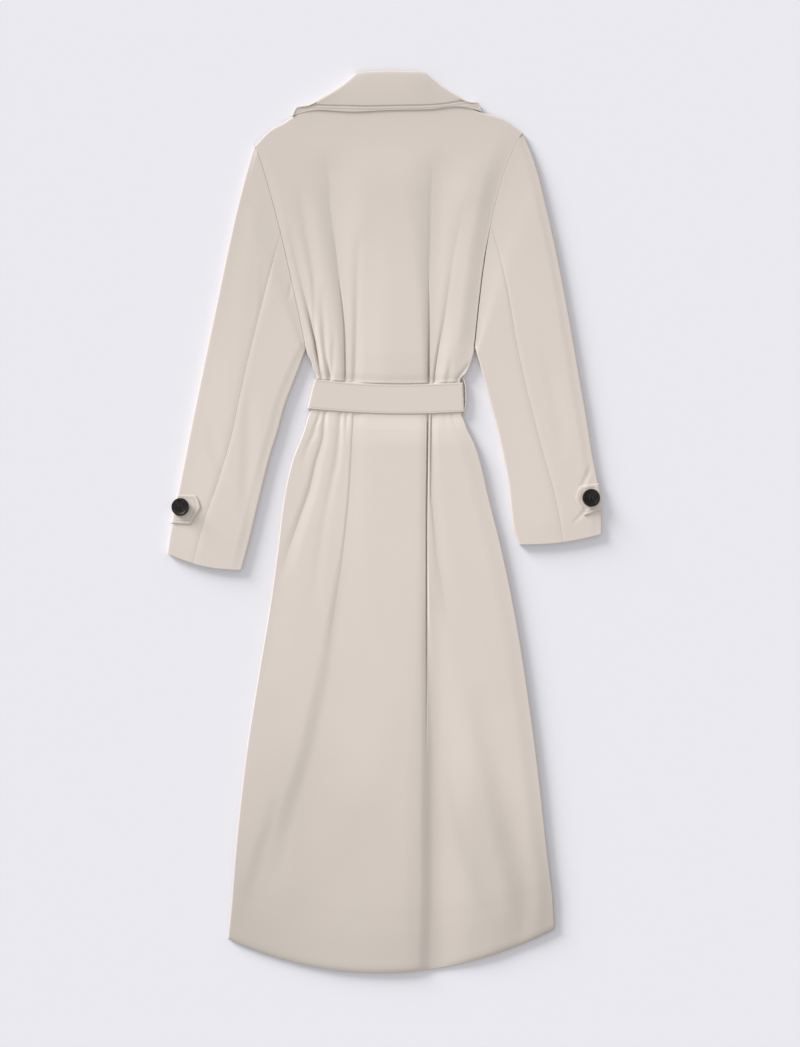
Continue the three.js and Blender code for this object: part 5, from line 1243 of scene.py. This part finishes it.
def belt_stations():
    """x, height and outward direction of the belt's way round the waist."""
    turn_left, turn_right = BELT_LEFT + BELT_RADIUS, BELT_RIGHT - BELT_RADIUS
    way = [(x, 0, 0, -1) for x in np.linspace(BELT_START_X, turn_right, 60)]
    for angle in np.linspace(0, math.pi, 20)[1:-1]:
        sine, cosine = math.sin(angle), math.cos(angle)
        out, up = sine ** BELT_SQUARE, math.copysign(abs(cosine) ** BELT_SQUARE, cosine)
        way.append((turn_right + BELT_RADIUS * out, BELT_RADIUS * (1 - up), sine, -cosine))
    way += [(x, BELT_TOP, 0, 1) for x in np.linspace(turn_right, turn_left, 90)]
    for angle in np.linspace(0, math.pi * 0.86, 20)[1:]:
        sine, cosine = math.sin(angle), math.cos(angle)
        out, up = sine ** BELT_SQUARE, math.copysign(abs(cosine) ** BELT_SQUARE, cosine)
        way.append((turn_left - BELT_RADIUS * out, BELT_RADIUS * (1 + up), -sine, cosine))
    way += [(x, BELT_WALL + SEAM_GAP, 0, -1) for x in np.linspace(BELT_START_X, BELT_END_X, 10)]
    return np.array(way).T


def belt_line(x, z, across):
    """Points of the belt at some x and a share of the way from its middle to its upper edge."""
    lean = blend(BELT_LEAN_LEFT, BELT_LEAN, np.clip((x - BELT_LEFT) / BELT_LEAN_REACH, 0, 1))
    return points(x + lean * across, belt_middle(x) + across * BELT_HALF, z)


x, z, normal_x, normal_z = (value[:, None] for value in belt_stations())
outer = belt_line(x, z, (with_rims(np.linspace(-BELT_HALF, BELT_HALF, 30)) / BELT_HALF)[None])
normal = points(normal_x, 0, normal_z)
belt = shell("belt_cloth", outer + SHIFT, outer - normal * BELT_WALL + SHIFT, cloth, edge=0.25)
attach(belt, "root")
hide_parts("belt")

# Each loop: heights of its edges, and y and x of points down its inner side.
LOOP_THICKNESS = 1.5
LOOPS = {
    "left": (1, 6, [(205, -99.6), (196, -101.7), (184, -104.7), (172, -107.6), (162.5, -109.6)]),
    "right": (1.2, 8, [(206, 113), (200, 115), (190, 116.4), (174, 116.5), (164, 115.4), (158, 113.6)]),
}
for side, (bottom, top, path) in LOOPS.items():
    y = with_rims(np.linspace(path[-1][0], path[0][0], 30))[:, None]
    x = curve(path, y)[0]
    z = with_rims(np.linspace(bottom, top, 8))[None]
    thickness = -LOOP_THICKNESS if side == "left" else LOOP_THICKNESS
    outer, inner = points(x + thickness, y, z), points(x, y, z)
    loop = shell(f"belt_loop_{side}_cloth", outer + SHIFT, inner + SHIFT, cloth, edge=0.6)
    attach(loop, "root")
    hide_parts(f"belt_loop_{side}")

# ---- Topstitching -------------------------------------------------------------------------
# Rows of short stitches, sewn by machine through both layers along the edges of the cuff tabs, the belt
# and the collar's band, in thread of the cloth's hue painted much darker than the cloth: painted shade
# along the rows of stitching.

# Length, pitch, width and height of a stitch, and the first two for the tabs.
STITCH_LENGTH, STITCH_PITCH, STITCH_WIDTH, STITCH_HEIGHT = 2.2, 3, 0.5, 0.5
TAB_STITCH_LENGTH, TAB_STITCH_PITCH = 1.8, 2.4
# How far the rows lie inside the tabs' and the belt's edges, and how proud of the cloth.
TAB_INSET, BELT_INSET, PROUD = 4.2, 2.5, 0.05
# The width of a tab at which its rows of stitches stop drawing closer together.
TIP_WIDTH = 12
# The thread's colour, darker than the cloth's as painted shade along the stitching.
CLOTH_THREAD_PAINTED_DARK = (0.40, 0.35, 0.30, 1)
# The corners of a tab's row: how far along the tab, and the share of the way down across it.
TAB_CORNERS = [(2, 0), (19.5, 0), (26.2, 0.5), (19.5, 1), (2, 1)]
cloth_thread_painted_shade = thread_material("cloth_thread_painted_shade", CLOTH_THREAD_PAINTED_DARK)


def stitched(name, line, length=STITCH_LENGTH, pitch=STITCH_PITCH):
    """A row of stitches along a line of points on the cloth."""
    line = np.asarray(line, float)
    run = np.concatenate([[0], np.cumsum(np.linalg.norm(np.diff(line, axis=0), axis=1))])
    middles = np.arange(pitch / 2, run[-1], pitch)
    place = np.stack([np.interp(middles, run, line[:, axis]) for axis in range(3)], axis=1)
    after = np.stack([np.interp(middles + 0.5, run, line[:, axis]) for axis in range(3)], axis=1)
    before = np.stack([np.interp(middles - 0.5, run, line[:, axis]) for axis in range(3)], axis=1)
    sizes = (length, STITCH_WIDTH, STITCH_HEIGHT)
    row = stitch_mesh(name, place + SHIFT, after - before, *sizes, cloth_thread_painted_shade)
    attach(row, "root")


steps = np.linspace(0, 1, 20)
along, share = (np.concatenate([blend(start, end, steps) for start, end in zip(corners, corners[1:])])
                for corners in zip(*TAB_CORNERS))
for side in ("left", "right"):
    keys, upper, lower = np.array(TAB_ROWS[side], float).T
    width = np.interp(along, keys, upper) - np.interp(along, keys, lower)
    inset = 0.5 + (share - 0.5) * (1 - 2 * TAB_INSET / np.clip(width, TIP_WIDTH, None))
    line = tab_points(side, along[:, None], inset[:, None], TAB_GAP + TAB_WALL + 2 * PROUD)[:, 0]
    stitched(f"cuff_tab_{side}_stitches", line, TAB_STITCH_LENGTH, TAB_STITCH_PITCH)

x = np.linspace(BELT_LEFT + 5, BELT_RIGHT - 5, 120)
for name, edge in (("belt_upper_stitches", 1), ("belt_lower_stitches", -1)):
    stitched(name, belt_line(x, BELT_TOP + PROUD, edge * (1 - BELT_INSET / BELT_HALF)))

band_line = []
for row in fall_outer[:, CURL_ROWS:]:
    under_seam = curve(BAND_SEAM, row[:, 0])[0] - row[:, 1]
    band_line.append([np.interp(BAND_STITCHING, under_seam, row[:, axis]) for axis in range(3)])
stitched("collar_band_stitches", np.array(band_line) + [0, 0, PROUD])

# ---- Floor, light and camera --------------------------------------------------------------
# The coat lies on a plain pale floor under a broad soft light from the upper left, seen from
# straight above.

FLOOR_COLOUR, FLOOR_SIZE = (0.80, 0.795, 0.84, 1), 8
floor_material = bpy.data.materials.new("floor")
floor_material.use_nodes = True
floor_shader = floor_material.node_tree.nodes["Principled BSDF"]
floor_shader.inputs["Base Color"].default_value = FLOOR_COLOUR
floor_shader.inputs["Roughness"].default_value = 1
floor_shader.inputs["Specular IOR Level"].default_value = 0
bpy.ops.mesh.primitive_plane_add(size=FLOOR_SIZE)
floor = bpy.context.object
floor.name = "floor"
floor.data.materials.append(floor_material)
floor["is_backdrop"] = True

# Each light: height over the horizon, the way it comes from and width of its disc, in degrees,
# and its strength.
LIGHTS = {"side_light": (17, 135, 26, 3.95), "top_light": (90, 0, 100, 0.3)}
ROOM_STRENGTH = 0.565
for name, (elevation, heading, disc, strength) in LIGHTS.items():
    lamp = bpy.data.lights.new(name, "SUN")
    lamp.energy = strength
    lamp.angle = math.radians(disc)
    sun = bpy.data.objects.new(name, lamp)
    sun.rotation_euler = (math.radians(90 - elevation), 0, math.radians(heading + 90))
    bpy.context.scene.collection.objects.link(sun)
    sun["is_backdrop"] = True

room = bpy.data.worlds.new("studio")
bpy.context.scene.world = room
room.use_nodes = True
background = room.node_tree.nodes["Background"]
background.inputs["Color"].default_value = WHITE
background.inputs["Strength"].default_value = ROOM_STRENGTH
bpy.context.scene.view_settings.view_transform = "Standard"

# The camera's place over the coat, and the height of the view on the floor, in metres.
CAMERA_X, CAMERA_Y, CAMERA_HEIGHT, VIEW_HEIGHT = 0.0217, -0.0015, 3.2, 1.508
SENSOR = 36
camera_data = bpy.data.cameras.new("camera")
camera_data.sensor_width = SENSOR
camera_data.lens = SENSOR * CAMERA_HEIGHT / VIEW_HEIGHT
camera = bpy.data.objects.new("camera", camera_data)
camera.location = (CAMERA_X, CAMERA_Y, CAMERA_HEIGHT)
bpy.context.scene.collection.objects.link(camera)
bpy.context.scene.camera = camera

low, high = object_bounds()
